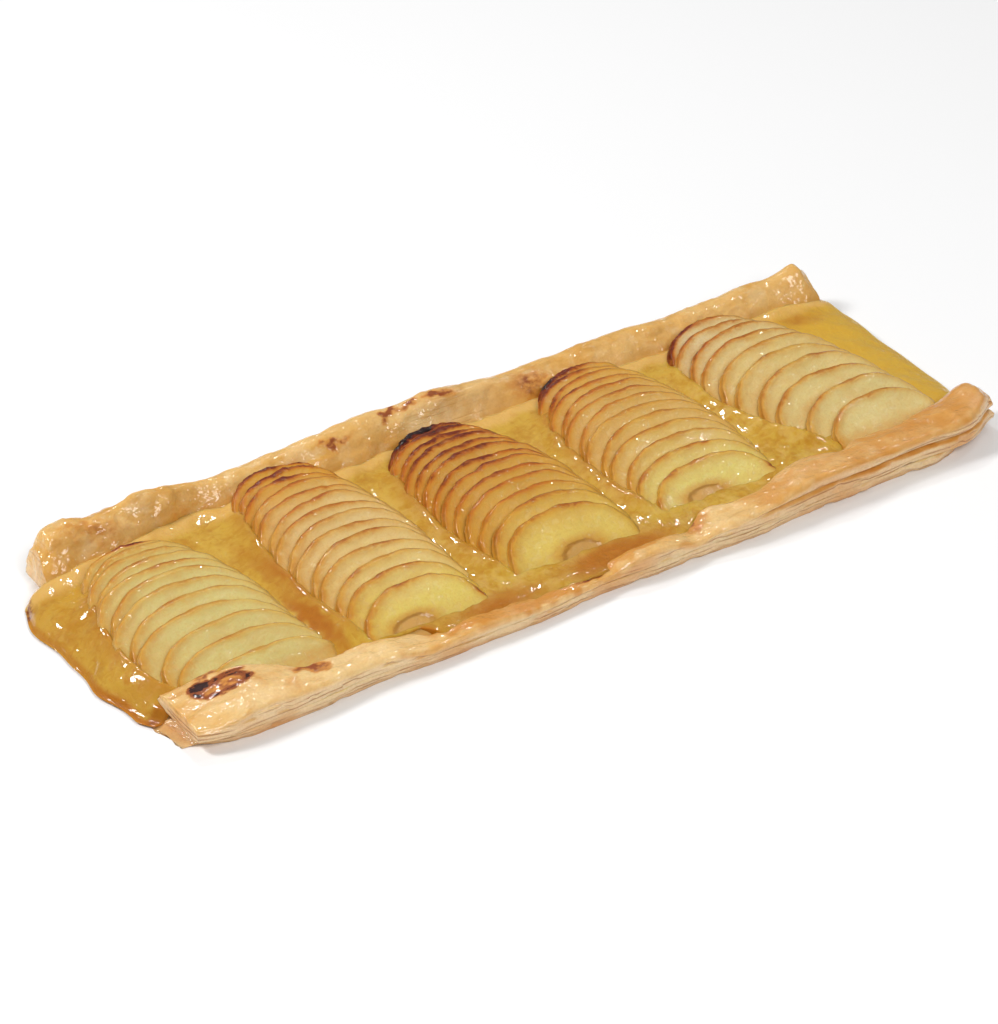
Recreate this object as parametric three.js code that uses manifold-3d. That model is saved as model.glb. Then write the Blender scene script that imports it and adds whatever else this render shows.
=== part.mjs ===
// Apple tart strip: a long sheet of puff pastry with a rim strip laid along each long side, a bed of
// apple compote that runs from end to end between the rims, and five half apples, each cut across
// into thin half-moon slices that have been pushed over like a row of dominoes.
//
// Millimetres, +Z up. X runs along the strip, +Y points to the tall rim and -Y to the low one, and
// the origin is in the middle of the underside.

import * as THREE from 'three';
import { mergeVertices } from 'three/addons/utils/BufferGeometryUtils.js';
import Module from 'manifold-3d';

const wasm = await Module();
wasm.setup();

// ---- Driving dimensions ------------------------------------------------------------------------

const LENGTH = 393;            // over the compote that has run out at both ends
const WIDTH = 139;             // over the bulging sides of the rims
const GAP = 0.3;               // clearance where two pieces are pressed together

const BASE_THICKNESS = 5;      // baked sheet, and the level of the seam under the rim strips
const BASE_END_INSET = 6;      // how far the sheet stops short of the run-out compote
const CORNER_PULL = 9;         // how far the sheet's corners draw in while baking
const CORNER_REACH = 15;       // length of side over which they draw in

const RIM_END_INSET = 10;      // rims start this far in from the ends
const TALL_RIM_HEIGHT = 13.5;  // above the seam
const TALL_RIM_INNER = 47;     // foot of its sloping inner face
const LOW_RIM_HEIGHT = 6.5;    // above the seam, at the left end
const LOW_RIM_INNER = 48;      // foot of its inner face, measured from the middle line
const RIM_OUTER = 66;          // outer foot of both rims

const COMPOTE_LEVEL = 9;       // free surface between the fans
const COMPOTE_THIN = 0.55;     // the run-out ends thin down by this share
const FAN_FLOOR = 7;           // the slices stand in the compote down to this level

const POCKET_ROOM = 2.6;       // room round a fan in the compote that it stands in

const SLICE_LAP = 0.8;         // extra thickness that lets each slice meet the one under it
const SLICE_SINK = 7;          // how far a slice's sides run on down below the compote's surface
const SLICE_SQUARENESS = 0.9;  // exponent of the half-moon outline; 1 is a plain half ellipse
const CORE_RADIUS = 8.5;       // notch left by the cored-out middle
const CORE_RISE = -2;          // centre of the notch, measured from the compote's surface

// Each fan from its far slice to its near one: slices, place of the first and last slice's foot
// along and across the strip, lean from upright in degrees, then half width and height above the
// compote at the far, middle and near slice. `cored` is how many near slices show the notch.
const FANS = [
  { slices: 12, x: [-152, -149], y: [27, -48], lean: [62, 66], half: [24, 34, 33], rise: [19, 25, 17], cored: 0 },
  { slices: 14, x: [-78, -76], y: [42, -53], lean: [62, 62], half: [24, 31, 27], rise: [20, 25, 19], cored: 2 },
  { slices: 13, x: [-12, -5], y: [32, -49], lean: [60, 55], half: [25, 33, 30], rise: [19, 26, 22], cored: 2 },
  { slices: 13, x: [62, 67], y: [35, -45], lean: [60, 64], half: [25, 34, 27], rise: [20, 26, 18], cored: 2 },
  { slices: 10, x: [128, 149], y: [33, -46], lean: [58, 62], half: [26, 34, 31], rise: [21, 26, 18], cored: 0 },
];

const COLOURS = {
  pastry: 0xd9b27a,
  rim: 0xe0bd86,
  compote: 0xcc9a3e,
  apple: 0xd9c37a,
};

// ---- Lines of the uneven dough -----------------------------------------------------------------

// A smooth bump of height 1 at `at`, gone about two `reach` away.
const swell = (x, at, reach) => Math.exp(-(((x - at) / reach) ** 2));

// 1 between `from` and `to`, easing to 0 over `ease` on either side.
const stretch = (x, from, to, ease) =>
  THREE.MathUtils.smoothstep(x, from - ease, from) * (1 - THREE.MathUtils.smoothstep(x, to, to + ease));

// A gentle wander of a hand-laid edge.
const wander = (x, wave, height, phase) =>
  height * (0.65 * Math.sin(x / wave + phase) + 0.35 * Math.sin((2.3 * x) / wave + 2 * phase));

// How far a long edge draws in towards the corners of the sheet.
const cornerPull = (x) => CORNER_PULL * (swell(x, -LENGTH / 2, CORNER_REACH) + swell(x, LENGTH / 2, CORNER_REACH));

// A bell through three values, for what is smallest at a half apple's ends.
const bell = ([far, middle, near], t) => {
  const hump = 4 * t * (1 - t);
  return THREE.MathUtils.lerp(far, near, t) + hump * (middle - (far + near) / 2);
};

const leftEnd = (y) => 0.6 - LENGTH / 2 + 5 * ((y - 12) / 60) ** 2 + wander(y, 9, 0.9, 1);
const rightEnd = (y) => LENGTH / 2 - 3.5 * ((y - 25) / 60) ** 2 + wander(y, 11, 0.9, 4);

const lowSideOuter = (x) => -RIM_OUTER - 1.2 + cornerPull(x) + wander(x, 19, 1.2, 1.2);
const tallSideOuter = (x) => RIM_OUTER - 0.3 * cornerPull(x) + wander(x, 23, 0.9, 5);

// The low rim is thin where the compote has flooded it, breaks beside the fourth fan and puffs up
// towards the right end.
const lowRimInner = (x) =>
  -LOW_RIM_INNER - 11 * stretch(x, -90, 40, 16) - 4 * swell(x, -122, 16) - 6 * swell(x, 41, 7)
  - 7 * swell(x, 72, 20) - 6 * swell(x, 117, 9) - 3 * swell(x, 148, 9) + 4 * swell(x, 188, 16);
const lowRimHeight = (x) =>
  LOW_RIM_HEIGHT - 2.4 * stretch(x, -86, -2, 20) - 3.4 * swell(x, 42, 7) + 4.2 * stretch(x, 108, 400, 60)
  + 2 * swell(x, 192, 12) + 0.6 * Math.sin(x / 13);

// The tall rim leans back where it is puffed behind the first fan.
const tallRimInner = (x) => TALL_RIM_INNER + 7 * swell(x, -122, 28) + wander(x, 15, 1, 3);
const tallRimOuter = (x) => tallSideOuter(x) + 1.5 * swell(x, -155, 30) + 1.5 * swell(x, -20, 40);
const tallRimHeight = (x) =>
  TALL_RIM_HEIGHT + 4.5 * swell(x, -168, 17) + 4 * swell(x, -132, 15) + 3.2 * swell(x, -28, 40)
  + 2.4 * swell(x, 2, 14) + 5 * swell(x, 190, 11) + 0.5 * Math.sin(x / 11);

// ---- Solids ------------------------------------------------------------------------------------

const toSolid = (geometry) => {
  const shell = geometry.clone();
  shell.deleteAttribute('normal');
  shell.deleteAttribute('uv');
  const welded = mergeVertices(shell, 1e-4);
  return new wasm.Manifold(new wasm.Mesh({
    numProp: 3,
    vertProperties: new Float32Array(welded.attributes.position.array),
    triVerts: new Uint32Array(welded.index.array),
  }));
};

const toGeometry = (solid) => {
  const { vertProperties, triVerts } = solid.getMesh();
  const geometry = new THREE.BufferGeometry();
  geometry.setAttribute('position', new THREE.BufferAttribute(new Float32Array(vertProperties), 3));
  geometry.setIndex(new THREE.BufferAttribute(new Uint32Array(triVerts), 1));
  return geometry;
};

// A section drawn in (across, up) as fractions, drawn out along X in even steps. `place` then puts
// each point at its real size: it gets the fraction along and the point's own fractions.
const drawOut = (section, steps, place) => {
  const outline = new THREE.Shape(section.map(([across, up]) => new THREE.Vector2(across, up)));
  const geometry = new THREE.ExtrudeGeometry(outline, { depth: 1, steps, bevelEnabled: false });
  const position = geometry.attributes.position;
  for (let i = 0; i < position.count; i += 1) {
    const [x, y, z] = place(position.getZ(i), position.getX(i), position.getY(i));
    position.setXYZ(i, x, y, z);
  }
  return toSolid(geometry);
};

// Even steps across a flat face, so that its ends can follow a curved edge.
const across = (from, to, pieces, up) =>
  Array.from({ length: pieces + 1 }, (_, i) => [THREE.MathUtils.lerp(from, to, i / pieces), up]);

// ---- Pastry ------------------------------------------------------------------------------------

const BASE_SECTION = [
  ...across(-0.985, 0.985, 5, 0),
  [1.005, 0.35],
  ...across(0.985, -0.985, 5, 1),
  [-1.005, 0.6],
];

const pastryBase = () => drawOut(BASE_SECTION, 28, (along, side, up) => {
  const straight = THREE.MathUtils.lerp(-LENGTH / 2, LENGTH / 2, along);
  const y = THREE.MathUtils.lerp(lowSideOuter(straight), tallSideOuter(straight), (side + 1) / 2);
  const x = THREE.MathUtils.lerp(leftEnd(y) + BASE_END_INSET, rightEnd(y) - BASE_END_INSET, along);
  return [x, y, up * BASE_THICKNESS];
});

// Rims are drawn from the foot of the inner face, over the crest and down the outer side.
const TALL_RIM_SECTION = [
  [0, 0], [0.95, 0], [1.06, 0.22], [1.07, 0.55], [1.0, 0.86], [0.87, 1], [0.68, 0.96], [0.5, 0.78], [0.24, 0.4],
];
const LOW_RIM_SECTION = [
  [0, 0], [0, 0.45], [0.1, 0.82], [0.32, 0.97], [0.62, 1], [0.86, 0.95], [1.01, 0.72], [1.05, 0.35], [0.98, 0],
];

// Ends of a rim are cut, then rounded a little by baking.
const rimStrip = (section, steps, inner, outer, height, grow) => {
  const start = -LENGTH / 2 + 1.3 * RIM_END_INSET;
  const finish = LENGTH / 2 - 0.5 * RIM_END_INSET;
  const direction = Math.sign(outer(0));
  const facing = section.map(([side, up]) => [direction * side, up]);
  return drawOut(facing, steps, (along, side, up) => {
    const eased = along - 0.045 * Math.sin(2 * Math.PI * along);
    const straight = THREE.MathUtils.lerp(start, finish, eased);
    const roundOff = 1 - 0.22 * (swell(along, 0, 0.012) + swell(along, 1, 0.012));
    const foot = inner(straight) - direction * grow;
    const y = THREE.MathUtils.lerp(foot, outer(straight) + direction * grow, direction * side);
    const bow = 3 * up * (swell(along, 0, 0.03) - swell(along, 1, 0.03));
    const growEnds = grow * Math.sign(along - 0.5);
    return [straight + bow + growEnds, y, BASE_THICKNESS - grow + up * (height(straight) * roundOff + 2 * grow)];
  });
};

const tallRim = (grow = 0) =>
  rimStrip(TALL_RIM_SECTION, 38, tallRimInner, tallRimOuter, tallRimHeight, grow);
const lowRim = (grow = 0) =>
  rimStrip(LOW_RIM_SECTION, 44, lowRimInner, lowSideOuter, lowRimHeight, grow);

// ---- Apple fans --------------------------------------------------------------------------------

// A half-moon slice seen face on: its foot line is Y = 0 at the compote's surface.
const sliceOutline = (half, rise, cored) => {
  const arcSteps = 10;
  const outline = new THREE.Shape();
  outline.moveTo(-half, -SLICE_SINK);
  for (let i = 0; i <= arcSteps; i += 1) {
    const angle = Math.PI * (1 - i / arcSteps);
    const reach = Math.abs(Math.cos(angle)) ** SLICE_SQUARENESS * Math.sign(Math.cos(angle));
    outline.lineTo(half * reach, rise * Math.sin(angle) ** SLICE_SQUARENESS);
  }
  outline.lineTo(half, -SLICE_SINK);
  if (cored) {
    outline.lineTo(CORE_RADIUS, -SLICE_SINK);
    outline.absarc(0, CORE_RISE, CORE_RADIUS, 0, Math.PI, false);
    outline.lineTo(-CORE_RADIUS, -SLICE_SINK);
  }
  return outline;
};

// Slices are cut by hand, so each differs a little from its neighbours.
const uneven = (fan, slice, salt) => Math.sin(7.3 * fan + 3.1 * slice + salt);

const appleSlice = (fan, number, index) => {
  const t = index / (fan.slices - 1);
  const lean = THREE.MathUtils.degToRad(THREE.MathUtils.lerp(...fan.lean, t));
  const pitch = (fan.y[0] - fan.y[1]) / (fan.slices - 1);
  const thickness = pitch * Math.cos(lean) + SLICE_LAP;
  const half = bell(fan.half, t) + 0.6 * uneven(number, index, 1);
  const rise = bell(fan.rise, t) + 0.4 * uneven(number, index, 2);
  const outline = sliceOutline(half, rise, index >= fan.slices - fan.cored);
  const slice = new THREE.ExtrudeGeometry(outline, { depth: thickness, bevelEnabled: false, curveSegments: 6 });
  slice.translate(0, 0, -thickness);
  slice.rotateZ(0.02 * uneven(number, index, 3));
  slice.rotateX(Math.PI / 2 - lean);
  slice.translate(
    THREE.MathUtils.lerp(...fan.x, t) + 0.6 * uneven(number, index, 4),
    THREE.MathUtils.lerp(...fan.y, t) + 0.4 * uneven(number, index, 5),
    COMPOTE_LEVEL,
  );
  return toSolid(slice);
};

// Everything under the level the slices stand at.
const below = (level) => {
  const block = new THREE.BoxGeometry(2 * LENGTH, 2 * WIDTH, 4 * BASE_THICKNESS);
  block.translate(0, 0, level - 2 * BASE_THICKNESS);
  return toSolid(block);
};

const appleFan = (fan, number) => {
  let stack = appleSlice(fan, number, 0);
  for (let index = 1; index < fan.slices; index += 1) {
    stack = stack.add(appleSlice(fan, number, index));
  }
  return stack.subtract(below(FAN_FLOOR)).subtract(tallRim(GAP)).subtract(lowRim(GAP));
};

// The pocket a fan is pressed into: its outline from above with room to spare, down to its floor.
const fanPocket = (fan) => {
  const pieces = 6;
  const foot = (FAN_FLOOR - COMPOTE_LEVEL) * Math.tan(THREE.MathUtils.degToRad(fan.lean[1]));
  const back = (fan.y[0] - fan.y[1]) / (fan.slices - 1) + 2 * SLICE_LAP;
  const side = (t, sign) => new THREE.Vector2(
    THREE.MathUtils.lerp(...fan.x, t) + sign * (bell(fan.half, t) + POCKET_ROOM),
    THREE.MathUtils.lerp(fan.y[0] + back + POCKET_ROOM, fan.y[1] + foot - POCKET_ROOM, t),
  );
  const steps = Array.from({ length: pieces + 1 }, (_, i) => i / pieces);
  const outline = new THREE.Shape([
    ...steps.map((t) => side(t, -1)),
    ...steps.map((t) => side(1 - t, 1)),
  ]);
  const pocket = new THREE.ExtrudeGeometry(outline, { depth: 4 * BASE_THICKNESS, bevelEnabled: false });
  pocket.translate(0, 0, FAN_FLOOR - GAP);
  return toSolid(pocket);
};

// ---- Compote -----------------------------------------------------------------------------------

const COMPOTE_SECTION = [
  ...across(-1, 1, 6, 0),
  ...across(0.97, -0.88, 6, 1),
  [-1, 0.4],
];

const compoteBed = () => {
  const bed = drawOut(COMPOTE_SECTION, 30, (along, side, up) => {
    const straight = THREE.MathUtils.lerp(-LENGTH / 2, LENGTH / 2, along);
    const y = THREE.MathUtils.lerp(lowRimInner(straight) - 1, tallRimInner(straight) + 4, (side + 1) / 2);
    const thin = 1 - COMPOTE_THIN * (swell(along, 0, 0.02) + swell(along, 1, 0.02));
    const depth = (COMPOTE_LEVEL - BASE_THICKNESS + wander(straight + y, 12, 0.35, 2)) * thin;
    return [THREE.MathUtils.lerp(leftEnd(y), rightEnd(y), along), y, BASE_THICKNESS + up * depth];
  });
  const cleared = bed.subtract(tallRim(GAP)).subtract(lowRim(GAP));
  return FANS.reduce((rest, fan) => rest.subtract(fanPocket(fan)), cleared);
};

// ---- The strip ---------------------------------------------------------------------------------

const piece = (name, solid, color, roughness) => {
  const mesh = new THREE.Mesh(toGeometry(solid), new THREE.MeshStandardMaterial({ color, roughness, metalness: 0 }));
  mesh.name = name;
  return mesh;
};

const strip = new THREE.Group();
strip.add(piece('pastry_base', pastryBase(), COLOURS.pastry, 0.55));
strip.add(piece('rim_tall', tallRim(), COLOURS.rim, 0.35));
strip.add(piece('rim_low', lowRim(), COLOURS.rim, 0.35));
strip.add(piece('compote', compoteBed(), COLOURS.compote, 0.25));
FANS.forEach((fan, i) => {
  strip.add(piece(`apple_fan_${i + 1}`, appleFan(fan, i + 1), COLOURS.apple, 0.3));
});

export default strip;
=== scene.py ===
"""Apple tart strip: the finished look of a long puff pastry tart.

A sheet of puff pastry carries a rim strip along each long side. Between the rims lies apple compote
that has run out at both ends, and in it lie five half apples, cut into thin slices that lean on
each other like fallen dominoes. Everything is glazed.

Shapes are worked out in millimetres and become metres when a piece is finished.
"""

import logging
import math
from dataclasses import dataclass
from enum import Enum
from typing import Callable, Sequence

import bmesh
import bpy
from mathutils import Matrix, Vector, noise

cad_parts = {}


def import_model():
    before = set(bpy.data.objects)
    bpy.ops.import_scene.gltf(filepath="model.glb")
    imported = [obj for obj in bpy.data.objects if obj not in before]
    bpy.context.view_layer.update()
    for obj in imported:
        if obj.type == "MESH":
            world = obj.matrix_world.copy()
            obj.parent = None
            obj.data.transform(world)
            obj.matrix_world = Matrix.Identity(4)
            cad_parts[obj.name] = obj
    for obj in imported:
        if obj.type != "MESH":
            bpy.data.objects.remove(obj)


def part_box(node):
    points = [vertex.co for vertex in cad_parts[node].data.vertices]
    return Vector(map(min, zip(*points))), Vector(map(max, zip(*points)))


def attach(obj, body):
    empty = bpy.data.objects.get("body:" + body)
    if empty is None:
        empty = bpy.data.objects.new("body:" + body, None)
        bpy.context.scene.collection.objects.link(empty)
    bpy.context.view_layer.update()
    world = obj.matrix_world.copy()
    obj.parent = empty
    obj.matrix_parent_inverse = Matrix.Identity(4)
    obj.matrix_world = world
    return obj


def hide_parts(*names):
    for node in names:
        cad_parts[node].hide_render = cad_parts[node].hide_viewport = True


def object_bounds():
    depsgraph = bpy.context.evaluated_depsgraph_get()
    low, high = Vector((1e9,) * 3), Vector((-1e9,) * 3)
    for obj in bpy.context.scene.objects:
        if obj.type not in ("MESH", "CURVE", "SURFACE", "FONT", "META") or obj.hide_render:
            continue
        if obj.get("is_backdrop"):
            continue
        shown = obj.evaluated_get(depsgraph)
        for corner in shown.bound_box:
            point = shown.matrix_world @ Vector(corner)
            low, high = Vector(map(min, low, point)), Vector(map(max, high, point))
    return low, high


log = logging.getLogger("tart")

MM = 0.001
BODY = "root"

Colour = tuple[float, float, float]
Span = tuple[float, float]
Trio = tuple[float, float, float]
Shaper = Callable[[Vector], Vector]


class Slot(str, Enum):
    """Material slots of the part's record."""

    PASTRY = "pastry"
    COMPOTE = "compote"
    APPLE = "apple"


# ---- Small sums ----------------------------------------------------------------------------------


def screen(red: int, green: int, blue: int) -> Colour:
    """Turns an 8-bit screen colour into the linear one that shaders take.

    Args:
        red: Red, 0 to 255.
        green: Green, 0 to 255.
        blue: Blue, 0 to 255.

    Returns:
        The linear colour.
    """
    shares = (value / 255 for value in (red, green, blue))
    return tuple(s / 12.92 if s <= 0.04045 else ((s + 0.055) / 1.055) ** 2.4 for s in shares)


def lerp(start: float, end: float, share: float) -> float:
    """The value that lies a share of the way from start to end."""
    return start + (end - start) * share


def mix(start: Sequence[float], end: Sequence[float], share: float) -> tuple[float, ...]:
    """Two colours or points blended by a share."""
    return tuple(lerp(a, b, share) for a, b in zip(start, end))


def clamp(value: float, low: float = 0.0, high: float = 1.0) -> float:
    """The value kept between two limits."""
    return max(low, min(high, value))


def ease(value: float, low: float, high: float) -> float:
    """0 below low, 1 above high and smooth between them."""
    share = clamp((value - low) / (high - low))
    return share * share * (3 - 2 * share)


def swell(x: float, at: float, reach: float) -> float:
    """A smooth bump of height 1 at a place, gone about two reaches away."""
    return math.exp(-(((x - at) / reach) ** 2))


def stretch(x: float, start: float, end: float, soft: float) -> float:
    """1 between start and end, easing to 0 over soft on either side."""
    return ease(x, start - soft, start) * (1 - ease(x, end, end + soft))


def wander(x: float, wave: float, height: float, phase: float) -> float:
    """The gentle wander of an edge laid by hand."""
    return height * (0.65 * math.sin(x / wave + phase) + 0.35 * math.sin(2.3 * x / wave + 2 * phase))


def bell(values: Trio, share: float) -> float:
    """A hump through a far, a middle and a near value."""
    far, middle, near = values
    return lerp(far, near, share) + 4 * share * (1 - share) * (middle - (far + near) / 2)


def ripple(x: float, y: float, z: float = 0.0) -> float:
    """Smooth noise from about -1 to 1 that turns over every two units or so."""
    return noise.noise(Vector((x, y, z)))


def blotch(x: float, y: float, z: float = 0.0) -> float:
    """Noise from about -1 to 1 with coarse and fine patches."""
    return ripple(x, y, z) + 0.5 * ripple(2.1 * x, 2.1 * y, z + 7) + 0.25 * ripple(4.3 * x, 4.3 * y, z + 13)


# ---- Modelling bench -----------------------------------------------------------------------------


class Bench:
    """Blender's own modelling operators, kept to what this strip needs."""

    @staticmethod
    def clear() -> None:
        """Leaves edit mode's results alone and selects nothing."""
        bpy.ops.object.select_all(action="DESELECT")

    @staticmethod
    def cut(piece: bpy.types.Object, axis: int, pieces: Sequence[int]) -> None:
        """Cuts every edge that runs along an axis into even pieces, in edit mode.

        Args:
            piece: The object being edited.
            axis: 0, 1 or 2 for X, Y or Z.
            pieces: Numbers of pieces, one cut after the other; the result has their product.
        """
        bpy.ops.mesh.select_mode(type="EDGE")
        for count in pieces:
            bpy.ops.mesh.select_all(action="DESELECT")
            shell = bmesh.from_edit_mesh(piece.data)
            for edge in shell.edges:
                run = edge.verts[1].co - edge.verts[0].co
                edge.select = abs(run[axis]) > 0.999 * run.length
            shell.select_flush_mode()
            bmesh.update_edit_mesh(piece.data)
            bpy.ops.mesh.subdivide(number_cuts=count - 1)

    @classmethod
    def block(cls, name: str, pieces: tuple[Sequence[int], Sequence[int], Sequence[int]]) -> bpy.types.Object:
        """Makes a cube that reaches from 0 to 1 on each axis, cut into a grid.

        Args:
            name: The piece's name.
            pieces: For each axis, the pieces that its edges are cut into.

        Returns:
            The new object.
        """
        cls.clear()
        bpy.ops.mesh.primitive_cube_add(size=1, location=(0.5, 0.5, 0.5))
        piece = bpy.context.object
        piece.name = name
        bpy.ops.object.transform_apply(location=True, rotation=True, scale=True)
        bpy.ops.object.mode_set(mode="EDIT")
        for axis, counts in enumerate(pieces):
            cls.cut(piece, axis, counts)
        bpy.ops.object.mode_set(mode="OBJECT")
        return piece

    @classmethod
    def bar(cls, name: str, around: int, along: Sequence[int], insets: Sequence[float]) -> bpy.types.Object:
        """Makes a round bar of radius 1 that runs from 0 to 1 along X, its ends filled with rings.

        Args:
            name: The piece's name.
            around: Faces round the bar.
            along: The pieces that its length is cut into.
            insets: Widths of the rings on its ends.

        Returns:
            The new object.
        """
        cls.clear()
        quarter_turn = math.pi / 2
        bpy.ops.mesh.primitive_cylinder_add(
            vertices=around, radius=1, depth=1, location=(0.5, 0, 0), rotation=(0, quarter_turn, 0))
        piece = bpy.context.object
        piece.name = name
        bpy.ops.object.transform_apply(location=True, rotation=True, scale=True)
        bpy.ops.object.mode_set(mode="EDIT")
        cls.ring_ends(piece, 0, insets)
        cls.cut(piece, 0, along)
        bpy.ops.object.mode_set(mode="OBJECT")
        return piece

    @staticmethod
    def ring_ends(piece: bpy.types.Object, axis: int, insets: Sequence[float]) -> None:
        """Fills the two end faces of a bar with rings and a centre point, in edit mode.

        Args:
            piece: The object being edited.
            axis: The axis that the end faces look along.
            insets: Widths of the rings, from the rim inwards.
        """
        bpy.ops.mesh.select_mode(type="FACE")
        bpy.ops.mesh.select_all(action="DESELECT")
        shell = bmesh.from_edit_mesh(piece.data)
        shell.normal_update()
        for face in shell.faces:
            face.select = abs(face.normal[axis]) > 0.9
        shell.select_flush_mode()
        bmesh.update_edit_mesh(piece.data)
        for width in insets:
            bpy.ops.mesh.inset(thickness=width, use_boundary=True)
        bpy.ops.mesh.poke()

    @staticmethod
    def shape(piece: bpy.types.Object, shaper: Shaper) -> None:
        """Moves every vertex of a piece to where a shaper puts it.

        Args:
            piece: The object to shape.
            shaper: Takes a vertex's place and gives its new one.
        """
        for vertex in piece.data.vertices:
            vertex.co = shaper(vertex.co)
        piece.data.update()

    @staticmethod
    def emboss(piece: bpy.types.Object, height: Callable[[Vector, Vector], float]) -> None:
        """Raises a surface along its own normals.

        Args:
            piece: The object to work on.
            height: Takes a vertex's place and normal and gives how far it moves out.
        """
        normals = [vertex.normal.copy() for vertex in piece.data.vertices]
        lifts = [height(vertex.co, normal) for vertex, normal in zip(piece.data.vertices, normals)]
        for vertex, normal, lift in zip(piece.data.vertices, normals, lifts):
            vertex.co = vertex.co + normal * lift
        piece.data.update()

    @staticmethod
    def tint(piece: bpy.types.Object, name: str, value: Callable[[Vector, Vector], float]) -> None:
        """Stores a number at every vertex for the material to read.

        Args:
            piece: The object to mark.
            name: The attribute's name.
            value: Takes a vertex's place and normal and gives its number.
        """
        layer = piece.data.attributes.new(name, "FLOAT", "POINT")
        layer.data.foreach_set("value", [value(v.co, v.normal) for v in piece.data.vertices])

    @classmethod
    def face_out(cls, piece: bpy.types.Object) -> None:
        """Turns every face of a closed piece outwards."""
        cls.clear()
        bpy.context.view_layer.objects.active = piece
        piece.select_set(True)
        bpy.ops.object.mode_set(mode="EDIT")
        bpy.ops.mesh.select_all(action="SELECT")
        bpy.ops.mesh.normals_make_consistent(inside=False)
        bpy.ops.object.mode_set(mode="OBJECT")

    @classmethod
    def finish(cls, piece: bpy.types.Object, material: bpy.types.Material, slot: Slot, *nodes: str) -> None:
        """Brings a shaped piece to metres, dresses it and hands it to the frame.

        Args:
            piece: The shaped object, in millimetres.
            material: Its finish.
            slot: The record's slot that it is painted from; not used.
            nodes: The solids that it stands for.
        """
        piece.data.transform(Matrix.Scale(MM, 4))
        piece.data.materials.clear()
        piece.data.materials.append(material)
        piece.data.shade_smooth()
        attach(piece, BODY)
        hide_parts(*nodes)
        log.info("%s: %d faces", piece.name, len(piece.data.polygons))


class Ring:
    """A closed smooth outline through a few points, read by the share of the way round it."""

    def __init__(self, corners: Sequence[Span], fineness: int = 16) -> None:
        """Runs a smooth curve through the corners.

        Args:
            corners: The outline's points, in order.
            fineness: Short straight steps between two corners.
        """
        count = len(corners)
        self.points: list[Span] = []
        for i in range(count):
            before, start, end, after = (corners[(i + k) % count] for k in (-1, 0, 1, 2))
            for step in range(fineness):
                t = step / fineness
                self.points.append(tuple(
                    0.5 * (2 * q + (r - p) * t + (2 * p - 5 * q + 4 * r - s) * t * t
                           + (3 * q - p - 3 * r + s) * t ** 3)
                    for p, q, r, s in zip(before, start, end, after)))
        self.points.append(self.points[0])
        self.reach = [0.0]
        for a, b in zip(self.points, self.points[1:]):
            self.reach.append(self.reach[-1] + math.dist(a, b))

    def at(self, share: float) -> Span:
        """The point a share of the way round, from the first corner."""
        goal = (share % 1.0) * self.reach[-1]
        low, high = 0, len(self.reach) - 1
        while high - low > 1:
            middle = (low + high) // 2
            if self.reach[middle] <= goal:
                low = middle
            else:
                high = middle
        step = self.reach[high] - self.reach[low]
        return mix(self.points[low], self.points[high], (goal - self.reach[low]) / max(step, 1e-9))


# ---- Finishes ------------------------------------------------------------------------------------


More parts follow.
